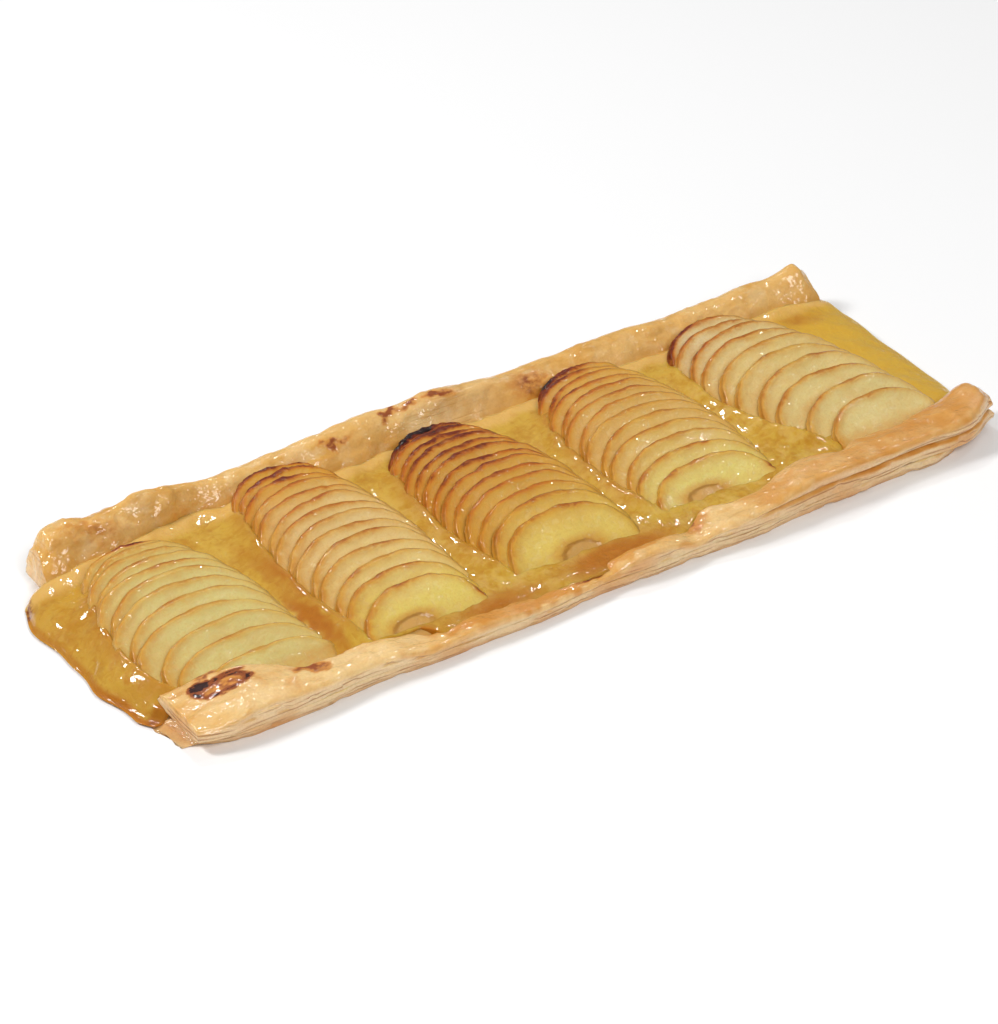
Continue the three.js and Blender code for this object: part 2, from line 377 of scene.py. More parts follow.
class Recipe:
    """Builds one material's nodes in short steps."""

    def __init__(self, name: str) -> None:
        """Starts an empty material with a principled surface."""
        self.material = bpy.data.materials.new(name)
        self.material.use_nodes = True
        self.nodes = self.material.node_tree.nodes
        self.links = self.material.node_tree.links
        self.nodes.clear()
        self.surface = self.nodes.new("ShaderNodeBsdfPrincipled")
        output = self.nodes.new("ShaderNodeOutputMaterial")
        self.links.new(self.surface.outputs["BSDF"], output.inputs["Surface"])
        self.place = self.nodes.new("ShaderNodeTexCoord").outputs["Object"]

    def feed(self, socket: bpy.types.NodeSocket, value: object) -> None:
        """Links a socket to another, or sets its plain value."""
        if isinstance(value, bpy.types.NodeSocket):
            self.links.new(value, socket)
        elif isinstance(value, (int, float)):
            socket.default_value = value
        else:
            socket.default_value = (*value, 1.0)

    def attribute(self, name: str) -> bpy.types.NodeSocket:
        """Reads a number stored on the mesh."""
        node = self.nodes.new("ShaderNodeAttribute")
        node.attribute_name = name
        return node.outputs["Fac"]

    def colour_attribute(self, name: str) -> bpy.types.NodeSocket:
        """Reads a colour stored on the mesh."""
        node = self.nodes.new("ShaderNodeAttribute")
        node.attribute_name = name
        return node.outputs["Color"]

    def noise(self, size: float, detail: float = 2.0, grow: Trio = (1, 1, 1), twist: float = 0.0,
              shift: Trio = (0, 0, 0)) -> bpy.types.NodeSocket:
        """Noise of 0 to 1 in the piece's own space.

        Args:
            size: Width of its patches in millimetres.
            detail: How many finer layers it holds.
            grow: How much longer the patches are along each axis.
            twist: How far it is warped by itself.
            shift: A shift of the pattern, in metres.

        Returns:
            The noise's value.
        """
        mapping = self.nodes.new("ShaderNodeMapping")
        mapping.inputs["Scale"].default_value = tuple(1 / g for g in grow)
        mapping.inputs["Location"].default_value = shift
        self.links.new(self.place, mapping.inputs["Vector"])
        node = self.nodes.new("ShaderNodeTexNoise")
        node.inputs["Scale"].default_value = 1 / (size * MM)
        node.inputs["Detail"].default_value = detail
        node.inputs["Distortion"].default_value = twist
        self.links.new(mapping.outputs["Vector"], node.inputs["Vector"])
        return node.outputs["Fac"]

    def along(self, axis: str) -> bpy.types.NodeSocket:
        """Place along an axis, in metres."""
        node = self.nodes.new("ShaderNodeSeparateXYZ")
        self.links.new(self.place, node.inputs["Vector"])
        return node.outputs[axis]

    def bubbles(self, size: float) -> bpy.types.NodeSocket:
        """Distance from the middle of round cells of a size in millimetres."""
        node = self.nodes.new("ShaderNodeTexVoronoi")
        node.inputs["Scale"].default_value = 1 / (size * MM)
        self.links.new(self.place, node.inputs["Vector"])
        return node.outputs["Distance"]

    def sum(self, kind: str, first: object, second: object = 0.0) -> bpy.types.NodeSocket:
        """One step of arithmetic, such as ADD or MULTIPLY."""
        node = self.nodes.new("ShaderNodeMath")
        node.operation = kind
        self.feed(node.inputs[0], first)
        self.feed(node.inputs[1], second)
        return node.outputs[0]

    def fade(self, value: object, low: float, high: float, start: float = 0.0, end: float = 1.0
             ) -> bpy.types.NodeSocket:
        """A smooth step from start to end while a value goes from low to high."""
        node = self.nodes.new("ShaderNodeMapRange")
        node.interpolation_type = "SMOOTHSTEP"
        self.feed(node.inputs["Value"], value)
        self.feed(node.inputs["From Min"], low)
        self.feed(node.inputs["From Max"], high)
        self.feed(node.inputs["To Min"], start)
        self.feed(node.inputs["To Max"], end)
        return node.outputs["Result"]

    def blend(self, share: object, first: object, second: object, kind: str = "MIX") -> bpy.types.NodeSocket:
        """Two colours blended by a share."""
        node = self.nodes.new("ShaderNodeMix")
        node.data_type = "RGBA"
        node.blend_type = kind
        self.feed(node.inputs[0], share)
        self.feed(node.inputs[6], first)
        self.feed(node.inputs[7], second)
        return node.outputs[2]

    def frayed(self, value: object, grain: object, least: float = 0.45) -> bpy.types.NodeSocket:
        """A mark's strength, torn by a grain so that its border is uneven."""
        return self.sum("MULTIPLY", value, self.fade(grain, 0.3, 0.7, least, 2 - least))

    def bump(self, height: object, depth: float, under: object = None) -> bpy.types.NodeSocket:
        """Relief of a depth in millimetres, on top of other relief.

        Args:
            height: The relief, 0 to 1.
            depth: How many millimetres 1 stands for.
            under: The normal that it is laid over.

        Returns:
            The new normal.
        """
        node = self.nodes.new("ShaderNodeBump")
        node.inputs["Strength"].default_value = 1.0
        node.inputs["Distance"].default_value = depth * MM
        self.feed(node.inputs["Height"], height)
        if under is not None:
            self.feed(node.inputs["Normal"], under)
        return node.outputs["Normal"]

    def dress(self, **values: object) -> bpy.types.Material:
        """Sets the surface's sockets, given with underscores for spaces, and hands the material over."""
        for name, value in values.items():
            self.feed(self.surface.inputs[name.replace("_", " ")], value)
        return self.material

    def scatter(self, weight: float, depth: float, spread: Trio) -> None:
        """Lets light into the surface.

        Args:
            weight: Share of the light that goes in.
            depth: How deep it goes, in millimetres.
            spread: How much of that depth red, green and blue reach.
        """
        self.surface.inputs["Subsurface Weight"].default_value = weight
        self.surface.inputs["Subsurface Scale"].default_value = depth * MM
        self.surface.inputs["Subsurface Radius"].default_value = spread


@dataclass(frozen=True)
class PastryFinish:
    """Baked, glazed puff pastry: pale cut layers, a golden top and toasted or burnt places."""

    cream: Colour = screen(234, 200, 142)
    pale: Colour = screen(232, 188, 114)
    golden: Colour = screen(220, 166, 80)
    toasted: Colour = screen(208, 134, 50)
    cut_side: Colour = screen(234, 204, 158)
    seam: Colour = screen(174, 104, 52)
    amber: Colour = screen(206, 138, 50)
    brown: Colour = screen(140, 66, 24)
    black: Colour = screen(46, 12, 10)
    coat: float = 1.0
    layer: float = 1.7
    sparkle: float = 0.75

    def make(self, name: str) -> bpy.types.Material:
        """Builds the material.

        Args:
            name: The material's name.

        Returns:
            The material.
        """
        recipe = Recipe(name)
        side = recipe.attribute("side")
        burn = recipe.attribute("burn")
        wet = recipe.attribute("wet")
        broad = recipe.noise(20, 3, (1.5, 1, 1))
        small = recipe.noise(5, 4, (1.25, 1, 1), 0.6)
        grain = recipe.noise(1.0, 3)
        tone = recipe.sum("ADD", recipe.sum("MULTIPLY", broad, 0.7), recipe.sum("MULTIPLY", small, 0.3))
        top = recipe.blend(recipe.fade(tone, 0.36, 0.64), self.pale, self.golden)
        top = recipe.blend(recipe.fade(tone, 0.56, 0.72, 0.0, 0.35), top, self.toasted)
        top = recipe.blend(recipe.fade(recipe.noise(13, 4, (1.3, 1, 1), 0.5), 0.51, 0.66, 0.0, 0.6), top, self.amber)
        top = recipe.blend(recipe.fade(recipe.noise(9, 3, (1.3, 1, 1), 0.3), 0.34, 0.48, 0.5, 0.0), top, self.cream)
        gaps = self.gaps(recipe)
        sheets = recipe.blend(recipe.fade(broad, 0.42, 0.72, 0.0, 0.55), self.cut_side, self.toasted)
        sheets = recipe.blend(recipe.fade(recipe.along("Z"), 0.0, 3.2 * MM, 0.45, 0.0), sheets, self.toasted)
        sheets = recipe.blend(recipe.sum("MULTIPLY", gaps, 0.7), sheets, self.seam)
        colour = recipe.blend(side, top, sheets)
        colour = recipe.blend(recipe.fade(grain, 0.35, 0.7, 0.0, 0.14), colour, self.seam)
        colour = recipe.blend(recipe.frayed(wet, recipe.noise(6, 3, (1.6, 1, 1)), 0.7), colour, self.amber)
        ragged = recipe.frayed(burn, recipe.noise(2.0, 4, (1.6, 1, 1)))
        colour = recipe.blend(recipe.fade(ragged, 0.0, 0.16, 0.0, 0.7), colour, self.toasted)
        colour = recipe.blend(recipe.fade(ragged, 0.08, 0.40, 0.0, 0.95), colour, self.brown)
        colour = recipe.blend(recipe.fade(ragged, 0.62, 0.92), colour, self.black)
        relief = recipe.bump(grain, 0.10)
        relief = recipe.bump(small, 0.34, relief)
        relief = recipe.bump(recipe.sum("MULTIPLY", recipe.sum("MULTIPLY", gaps, side), -1.0), 0.35, relief)
        film = recipe.bump(recipe.noise(3.0, 2, (1.8, 1, 1)), 0.40)
        patch = recipe.fade(recipe.noise(12, 2, (1.4, 1, 1)), 0.37, 0.51)
        patch = recipe.sum("MULTIPLY", patch, recipe.fade(burn, 0.0, 0.3, 1.0, 0.15))
        film = recipe.bump(recipe.sum("MULTIPLY", recipe.noise(1.9, 1, (1.3, 1, 1)), patch), self.sparkle, film)
        film = recipe.bump(recipe.fade(recipe.bubbles(4.5), 0.0, 0.24, 1.0, 0.0), 0.16, film)
        recipe.scatter(0.25, 2.5, (1.0, 0.55, 0.25))
        roughness = recipe.fade(side, 0.2, 0.9, 0.42, 0.55)
        wetness = recipe.fade(side, 0.3, 0.9, self.coat, 0.4 * self.coat)
        wetness = recipe.sum("MULTIPLY", wetness, recipe.fade(burn, 0.0, 0.5, 1.0, 0.25))
        return recipe.dress(Base_Color=colour, Roughness=roughness, Normal=relief, Coat_Weight=wetness,
                            Coat_Roughness=0.06, Coat_Normal=film, Specular_IOR_Level=0.2)

    def gaps(self, recipe: Recipe) -> bpy.types.NodeSocket:
        """Thin dark lines between the dough's layers, which open and close along the side.

        Args:
            recipe: The material being built.

        Returns:
            1 in a line and 0 beside it.
        """
        drift = recipe.noise(30, 2, (1.6, 1.6, 3))
        level = recipe.sum("MULTIPLY", recipe.along("Z"), 1 / (self.layer * MM))
        level = recipe.sum("ADD", level, recipe.sum("MULTIPLY", drift, 2.4))
        line = recipe.fade(recipe.sum("PINGPONG", level, 0.5), 0.0, 0.24, 1.0, 0.0)
        opening = recipe.fade(recipe.noise(11, 3, (2.4, 2.4, 0.13)), 0.44, 0.58, 0.06, 1.0)
        return recipe.sum("MULTIPLY", line, opening)


@dataclass(frozen=True)
class CompoteFinish:
    """Wet apple compote under glaze, golden yellow where thick and amber where the glaze pools or shade is painted."""

    golden: Colour = screen(185, 134, 30)
    pale: Colour = screen(201, 160, 56)
    cream: Colour = screen(222, 190, 112)
    painted_light_yellow: Colour = screen(214, 168, 50)
    amber: Colour = screen(172, 103, 22)
    brown: Colour = screen(104, 36, 12)
    dough: Colour = screen(218, 173, 94)

    def make(self, name: str) -> bpy.types.Material:
        """Builds the material.

        Args:
            name: The material's name.

        Returns:
            The material.
        """
        recipe = Recipe(name)
        amber = recipe.attribute("amber")
        burn = recipe.attribute("burn")
        broad = recipe.noise(14, 3)
        pulp = recipe.noise(2.4, 4, (1, 1, 1), 0.5)
        tone = recipe.sum("ADD", recipe.sum("MULTIPLY", broad, 0.65), recipe.sum("MULTIPLY", pulp, 0.35))
        colour = recipe.blend(recipe.fade(tone, 0.38, 0.62), self.golden, self.pale)
        colour = recipe.blend(recipe.fade(pulp, 0.52, 0.75, 0.0, 0.35), colour, self.pale)
        colour = recipe.blend(recipe.fade(pulp, 0.28, 0.44, 0.2, 0.0), colour, self.amber)
        # Painted light: the right end of the compote is painted a brighter yellow.
        colour = recipe.blend(recipe.fade(recipe.along("X"), 0.12, 0.18, 0.0, 0.85), colour, self.painted_light_yellow)
        # Painted shade: the far-left end of the compote is painted a darker amber.
        deep = recipe.sum("MULTIPLY", recipe.fade(recipe.along("X"), -0.175, -0.145, 0.25, 0.0),
                          recipe.fade(recipe.along("Y"), -0.025, 0.01))
        colour = recipe.blend(deep, colour, self.amber)
        chunks = recipe.sum("MULTIPLY", recipe.fade(recipe.noise(6, 3), 0.45, 0.62, 0.0, 0.28), recipe.attribute("pulpy"))
        colour = recipe.blend(chunks, colour, self.cream)
        # The amber attribute holds the glaze pools and also painted shade beside the fans and along the low rim.
        soaked = recipe.sum("ADD", amber, recipe.sum("MULTIPLY", recipe.sum("SUBTRACT", broad, 0.5), 0.5))
        colour = recipe.blend(recipe.fade(soaked, 0.1, 0.85, 0.0, 0.95), colour, self.amber)
        murky = recipe.sum("MULTIPLY", recipe.fade(soaked, 0.6, 1.1), recipe.fade(pulp, 0.40, 0.65, 0.0, 0.2))
        colour = recipe.blend(murky, colour, self.brown)
        shore = recipe.frayed(recipe.attribute("shore"), broad, 0.7)
        colour = recipe.blend(recipe.fade(shore, 0.1, 1.0, 0.0, 0.9), colour, self.dough)
        ragged = recipe.frayed(burn, pulp)
        colour = recipe.blend(recipe.fade(ragged, 0.1, 0.9, 0.0, 0.95), colour, self.brown)
        relief = recipe.bump(pulp, 0.35)
        film = recipe.bump(recipe.noise(7.0, 1), 0.30)
        outer = recipe.fade(recipe.along("X"), -182 * MM, -166 * MM, 1.0, 0.0)
        outer = recipe.sum("MULTIPLY", outer, recipe.fade(recipe.along("Y"), -20 * MM, 12 * MM, 0.25, 1.0))
        film = recipe.bump(recipe.sum("MULTIPLY", recipe.noise(5.5, 0, (1, 1.6, 1)), outer), 2.0, film)
        film = recipe.bump(recipe.noise(1.8, 1), 0.10, film)
        film = recipe.bump(recipe.fade(recipe.bubbles(7.0), 0.0, 0.2, 1.0, 0.0), 0.14, film)
        recipe.scatter(0.4, 4.0, (1.0, 0.6, 0.2))
        wet = recipe.fade(soaked, 0.35, 0.95, 1.0, 0.35)
        return recipe.dress(Base_Color=colour, Roughness=0.4, Normal=relief, Coat_Weight=wet,
                            Coat_Roughness=0.04, Coat_Normal=film, Specular_IOR_Level=0.1)


@dataclass(frozen=True)
class AppleFinish:
    """Baked apple flesh under glaze, browned along the slices' edges."""

    tan: Colour = screen(202, 150, 72)
    cream: Colour = screen(236, 222, 172)
    golden: Colour = screen(198, 146, 16)
    line: Colour = screen(182, 95, 20)
    rim: Colour = screen(128, 56, 14)
    scorch: Colour = screen(102, 30, 10)
    black: Colour = screen(26, 4, 6)
    amber: Colour = screen(196, 134, 44)
    gel: Colour = screen(204, 156, 84)
    notch_shadow: Colour = screen(156, 94, 30)

    def make(self, name: str) -> bpy.types.Material:
        """Builds the material.

        Args:
            name: The material's name.

        Returns:
            The material.
        """
        recipe = Recipe(name)
        edge = recipe.attribute("edge")
        toast = recipe.attribute("toast")
        notch = recipe.attribute("notch")
        cells = recipe.noise(0.8, 3)
        streaks = recipe.noise(3.2, 3, (1, 1, 1), 0.8)
        colour = recipe.colour_attribute("flesh")
        colour = recipe.blend(recipe.fade(cells, 0.46, 0.7, 0.0, 0.24), colour, self.tan)
        colour = recipe.blend(recipe.fade(streaks, 0.34, 0.50, 0.16, 0.0), colour, self.cream)
        colour = recipe.blend(recipe.fade(recipe.noise(11, 2), 0.42, 0.68, 0.0, 0.2), colour, self.tan)
        frayed = recipe.sum("ADD", edge, recipe.sum("MULTIPLY", recipe.sum("SUBTRACT", streaks, 0.5), 3.4))
        share = recipe.sum("ADD", recipe.sum("MULTIPLY", toast, 0.3), 0.68)
        warm = recipe.sum("MULTIPLY", recipe.fade(frayed, -1.0, 6.5, 1.0, 0.0), share)
        colour = recipe.blend(warm, colour, self.golden)
        deep = recipe.sum("POWER", toast, 1.5)
        soft = recipe.sum("MULTIPLY", recipe.fade(frayed, -0.5, 4.2, 1.0, 0.0), deep)
        colour = recipe.blend(soft, colour, self.line)
        crisp = recipe.sum("MULTIPLY", recipe.fade(frayed, 0.0, 2.4, 0.7, 0.0), deep)
        colour = recipe.blend(crisp, colour, self.rim)
        # Amber from the groove attribute: glaze on the left flanks, and glaze with painted shade in the creases under
        # the next slice.
        soaked = recipe.sum("MULTIPLY", recipe.attribute("groove"), recipe.fade(streaks, 0.25, 0.75, 0.8, 0.4))
        colour = recipe.blend(soaked, colour, self.amber)
        ragged = recipe.frayed(recipe.attribute("burn"), streaks, 0.75)
        colour = recipe.blend(recipe.fade(ragged, 0.0, 0.55, 0.0, 0.85), colour, self.line)
        colour = recipe.blend(recipe.fade(ragged, 0.25, 0.85, 0.0, 0.97), colour, self.scorch)
        colour = recipe.blend(recipe.fade(ragged, 0.95, 1.35), colour, self.black)
        hollow = recipe.sum("ADD", notch, recipe.sum("MULTIPLY", recipe.sum("SUBTRACT", streaks, 0.5), 2.4))
        colour = recipe.blend(recipe.fade(hollow, 0.0, 4.0, 0.7, 0.0), colour, self.amber)
        # Painted shadow: a brown line along the border of the notch.
        colour = recipe.blend(recipe.fade(hollow, -0.4, 0.7, 0.35, 0.0), colour, self.notch_shadow)
        colour = recipe.blend(recipe.fade(hollow, -1.6, -0.1, 1.0, 0.0), colour, self.gel)
        dent = recipe.fade(notch, -1.2, 0.4)
        relief = recipe.bump(cells, 0.06)
        relief = recipe.bump(streaks, 0.26, relief)
        relief = recipe.bump(dent, 0.8, relief)
        film = recipe.bump(dent, 0.8)
        film = recipe.bump(recipe.noise(2.8, 2), 0.34, film)
        patch = recipe.fade(recipe.noise(10, 2), 0.44, 0.54)
        film = recipe.bump(recipe.sum("MULTIPLY", recipe.noise(1.7, 1), patch), 0.40, film)
        drips = recipe.fade(recipe.attribute("groove"), 0.44, 0.56)
        film = recipe.bump(recipe.sum("MULTIPLY", recipe.noise(2.6, 1, (1, 1, 2)), drips), 0.8, film)
        recipe.scatter(0.5, 3.0, (1.0, 0.7, 0.35))
        wet = recipe.fade(recipe.sum("ADD", recipe.attribute("dry"), ragged), 0.0, 1.2, 1.0, 0.55)
        wet = recipe.sum("MULTIPLY", wet, recipe.fade(recipe.noise(2.4, 3), 0.44, 0.58, 0.3, 1.0))
        return recipe.dress(Base_Color=colour, Roughness=0.4, Normal=relief, Coat_Weight=wet,
                            Coat_Roughness=0.05, Coat_Normal=film, Specular_IOR_Level=0.15)


# ---- Lines of the strip --------------------------------------------------------------------------


@dataclass(frozen=True)
class StripLines:
    """The uneven edges that all the dough pieces share, in millimetres.

    The low rim is thin where the compote has flooded it, breaks beside the fourth fan and puffs up
    towards the right end. The tall rim leans back where it is puffed behind the first fan.
    """

    length: float
    seam: float
    rim_outer: float = 66.0
    tall_height: float = 13.5
    tall_foot: float = 47.0
    low_height: float = 6.5
    low_foot: float = 48.0
    corner_pull: float = 9.0
    corner_reach: float = 15.0

    def corner(self, x: float) -> float:
        """How far a long edge draws in towards the corners."""
        half = self.length / 2
        return self.corner_pull * (swell(x, -half, self.corner_reach) + swell(x, half, self.corner_reach))

    def left_end(self, y: float) -> float:
        """X of the left end of the filling."""
        return 0.6 - self.length / 2 + 5 * ((y - 12) / 60) ** 2 + wander(y, 9, 0.9, 1)

    def right_end(self, y: float) -> float:
        """X of the right end of the filling."""
        return self.length / 2 - 3.5 * ((y - 25) / 60) ** 2 + wander(y, 11, 0.9, 4)

    def low_side(self, x: float) -> float:
        """Y of the sheet's near edge."""
        return -self.rim_outer - 1.2 + self.corner(x) + wander(x, 19, 1.2, 1.2)

    def tall_side(self, x: float) -> float:
        """Y of the sheet's far edge."""
        return self.rim_outer - 0.3 * self.corner(x) + wander(x, 23, 0.9, 5)

    def low_inner(self, x: float) -> float:
        """Y of the low rim's inner foot."""
        return (-self.low_foot + 12 * (1 - ease(x, -162, -130)) - 5.5 * ease(x, -141, -131) * (1 - ease(x, -90, -80))
                - 11 * ease(x, -89, -80) * (1 - ease(x, 24, 56)) + 1.2 * swell(x, -106, 8)
                - 3.5 * swell(x, 38, 9) - 7 * swell(x, 72, 20) - 6 * swell(x, 117, 9) - 3 * swell(x, 148, 9) + 4 * swell(x, 188, 16))

    def low_rise(self, x: float) -> float:
        """Height of the low rim above the seam."""
        return (self.low_height + 1.8 * swell(x, -158, 14) - 3.1 * stretch(x, -84, -2, 16) - 3.0 * swell(x, 38, 9)
                + 4.2 * stretch(x, 108, 400, 60) + 2 * swell(x, 192, 12) + 0.6 * math.sin(x / 13))

    def tall_inner(self, x: float) -> float:
        """Y of the tall rim's inner foot."""
        return self.tall_foot + 7 * swell(x, -122, 28) + wander(x, 15, 1, 3)

    def tall_outer(self, x: float) -> float:
        """Y of the tall rim's outer foot."""
        return self.tall_side(x) + 1.5 * swell(x, -155, 30) + 1.5 * swell(x, -20, 40)

    def tall_rise(self, x: float) -> float:
        """Height of the tall rim above the seam."""
        return (self.tall_height + 4.5 * swell(x, -168, 17) + 4 * swell(x, -132, 15) + 3.2 * swell(x, -28, 40)
                + 2.4 * swell(x, 2, 14) + 5 * swell(x, 190, 11) + 0.5 * math.sin(x / 11))


@dataclass(frozen=True)
class Layers:
    """Baked sheets of dough that stand out unevenly on a cut side, in millimetres."""

    seed: float
    pitch: float = 1.7
    jut: float = 0.5
    chip: float = 0.8

    def offset(self, along: float, up: float) -> float:
        """How far the side stands out at a place.

        Args:
            along: Distance along the side.
            up: Height on it.

        Returns:
            The offset, negative where flakes have broken off.
        """
        level = up / self.pitch + 0.9 * ripple(along / 50, self.seed)
        index = math.floor(level)
        share = ease(level - index, 0.0, 0.35)
        stand = lerp(self.stand(along, index - 1), self.stand(along, index), share)
        return stand

    def stand(self, along: float, index: int) -> float:
        """How far one sheet stands out at a distance along the side."""
        sheet = ripple(along / 16, 3.7 * index, self.seed) + 0.4 * ripple(along / 5, 5.1 * index, self.seed)
        broken = ease(ripple(along / 8, 9.1 * index, self.seed + 5), 0.3, 0.45)
        return self.jut * sheet - self.chip * broken


@dataclass(frozen=True)
class Mark:
    """A burnt or glazed spot on the dough, in millimetres."""

    x: float
    y: float
    long: float
    wide: float
    strength: float = 1.0
    turn: float = 0.0
    hollow: bool = False
    ragged: float = 1.2

    def at(self, place: Vector) -> float:
        """How strongly the spot shows at a place: its strength in the middle and 0 outside."""
        angle = math.radians(self.turn)
        dx = place.x - self.x + self.ragged * ripple(place.x / 4, place.y / 4, self.x)
        dy = place.y - self.y + self.ragged * ripple(place.x / 4, place.y / 4, self.y)
        u = (dx * math.cos(angle) + dy * math.sin(angle)) / self.long
        v = (dy * math.cos(angle) - dx * math.sin(angle)) / self.wide
        distance = math.hypot(u, v)
        if self.hollow:
            return self.strength * (1 - abs(distance - 0.8) / 0.25)
        return self.strength * (1 - distance)


def strongest(marks: Sequence[Mark], place: Vector) -> float:
    """The value of the strongest mark at a place, and 0 where none reaches."""
    return max([0.0, *(mark.at(place) for mark in marks)])


def puffed(place: Vector, seed: float) -> float:
    """Relief of a glazed pastry top: soft swellings, thin overlapping flakes and fine wrinkles.

    Args:
        place: A point of the surface, in millimetres.
        seed: Sets one strip's relief apart from another's.

    Returns:
        The height in millimetres.
    """
    swelling = 0.7 * ripple(place.x / 14, place.y / 7, seed + place.z / 9)
    swelling += 0.22 * ripple(place.x / 6, place.y / 4, seed + place.z / 5)
    flakes = 0.32 * ease(ripple(place.x / 12, place.y / 7, seed + 20), 0.05, 0.25)
    flakes += 0.14 * ease(ripple(place.x / 7, place.y / 5, seed + 31), 0.2, 0.35)
    wrinkles = 0.07 * ripple(place.x / 2.4, place.y / 1.8, seed + 44 + place.z)
    return swelling + flakes + wrinkles


# ---- Pastry --------------------------------------------------------------------------------------


@dataclass
class BaseSheet:
    """The baked sheet that everything lies on."""

    lines: StripLines
    end_inset: float = 6.0
    name: str = "pastry_sheet"

    layers: Layers = Layers(seed=3.0, jut=0.45)

    def build(self) -> bpy.types.Object:
        """Models the sheet with its cut layers on all four sides.

        Returns:
            The sheet, in millimetres.
        """
        piece = Bench.block(self.name, ((19, 20), (6, 6), (13,)))
        half = self.lines.length / 2

        def shaper(spot: Vector) -> Vector:
            straight = lerp(-half, half, spot.x)
            bulge = 1.0 + 0.010 * math.sin(math.pi * spot.z) - 0.012 * (1 - spot.z)
            across = (bulge * (2 * spot.y - 1) + 1) / 2
            y = lerp(self.lines.low_side(straight), self.lines.tall_side(straight), across)
            left = self.lines.left_end(y) + self.end_inset - 4 * ease(-y, 30, 44) + 5 * ease(y, 46, 58)
            right = self.lines.right_end(y) - self.end_inset
            rim = ease(abs(2 * spot.y - 1), 0.94, 1.0)
            lift = 0.9 * (1 - spot.z) * rim * ease(ripple(straight / 9, 2), 0, 0.5)
            tip = swell(min(spot.x, 1 - spot.x), 0, 0.012)
            step = 3.4 * ease(abs(straight) + 2.5 * blotch(y / 7, straight / 30, 3), 182, 195) * ease(-y, 30, 40)
            top = self.lines.seam * (1 - 0.3 * tip) - 1.1 * (math.floor(step) + ease(step % 1.0, 0.6, 1.0))
            return Vector((lerp(left, right, spot.x) + 1.4 * tip * blotch(y / 6, spot.z, 9), y, top * spot.z + lift))

        def sides(place: Vector, normal: Vector) -> float:
            outward = 1 - ease(abs(normal.z), 0.3, 0.8)
            along = place.x + place.y
            torn = 0.8 * blotch(along / 8, place.z / 3, 17) * ease(-place.y, 50, 60)
            return outward * (self.layers.offset(along, place.z) + torn)

        Bench.shape(piece, shaper)
        Bench.emboss(piece, sides)
        Bench.shape(piece, lambda spot: Vector((spot.x, spot.y, max(0.0, spot.z))))
        return piece

    def dress(self, piece: bpy.types.Object, material: bpy.types.Material) -> None:
        """Marks the cut sides and gives the sheet its finish.

        Args:
            piece: The modelled sheet.
            material: The pastry's finish.
        """
        def side(place: Vector, normal: Vector) -> float:
            return max(1 - ease(abs(normal.z), 0.4, 0.9), 0.8 * ease(abs(place.x), 176, 184))

        Bench.tint(piece, "side", side)
        Bench.tint(piece, "burn", lambda place, normal: 0.0)
        Bench.tint(piece, "wet", lambda place, normal: 0.0)
        Bench.finish(piece, material, Slot.PASTRY, "pastry_base")


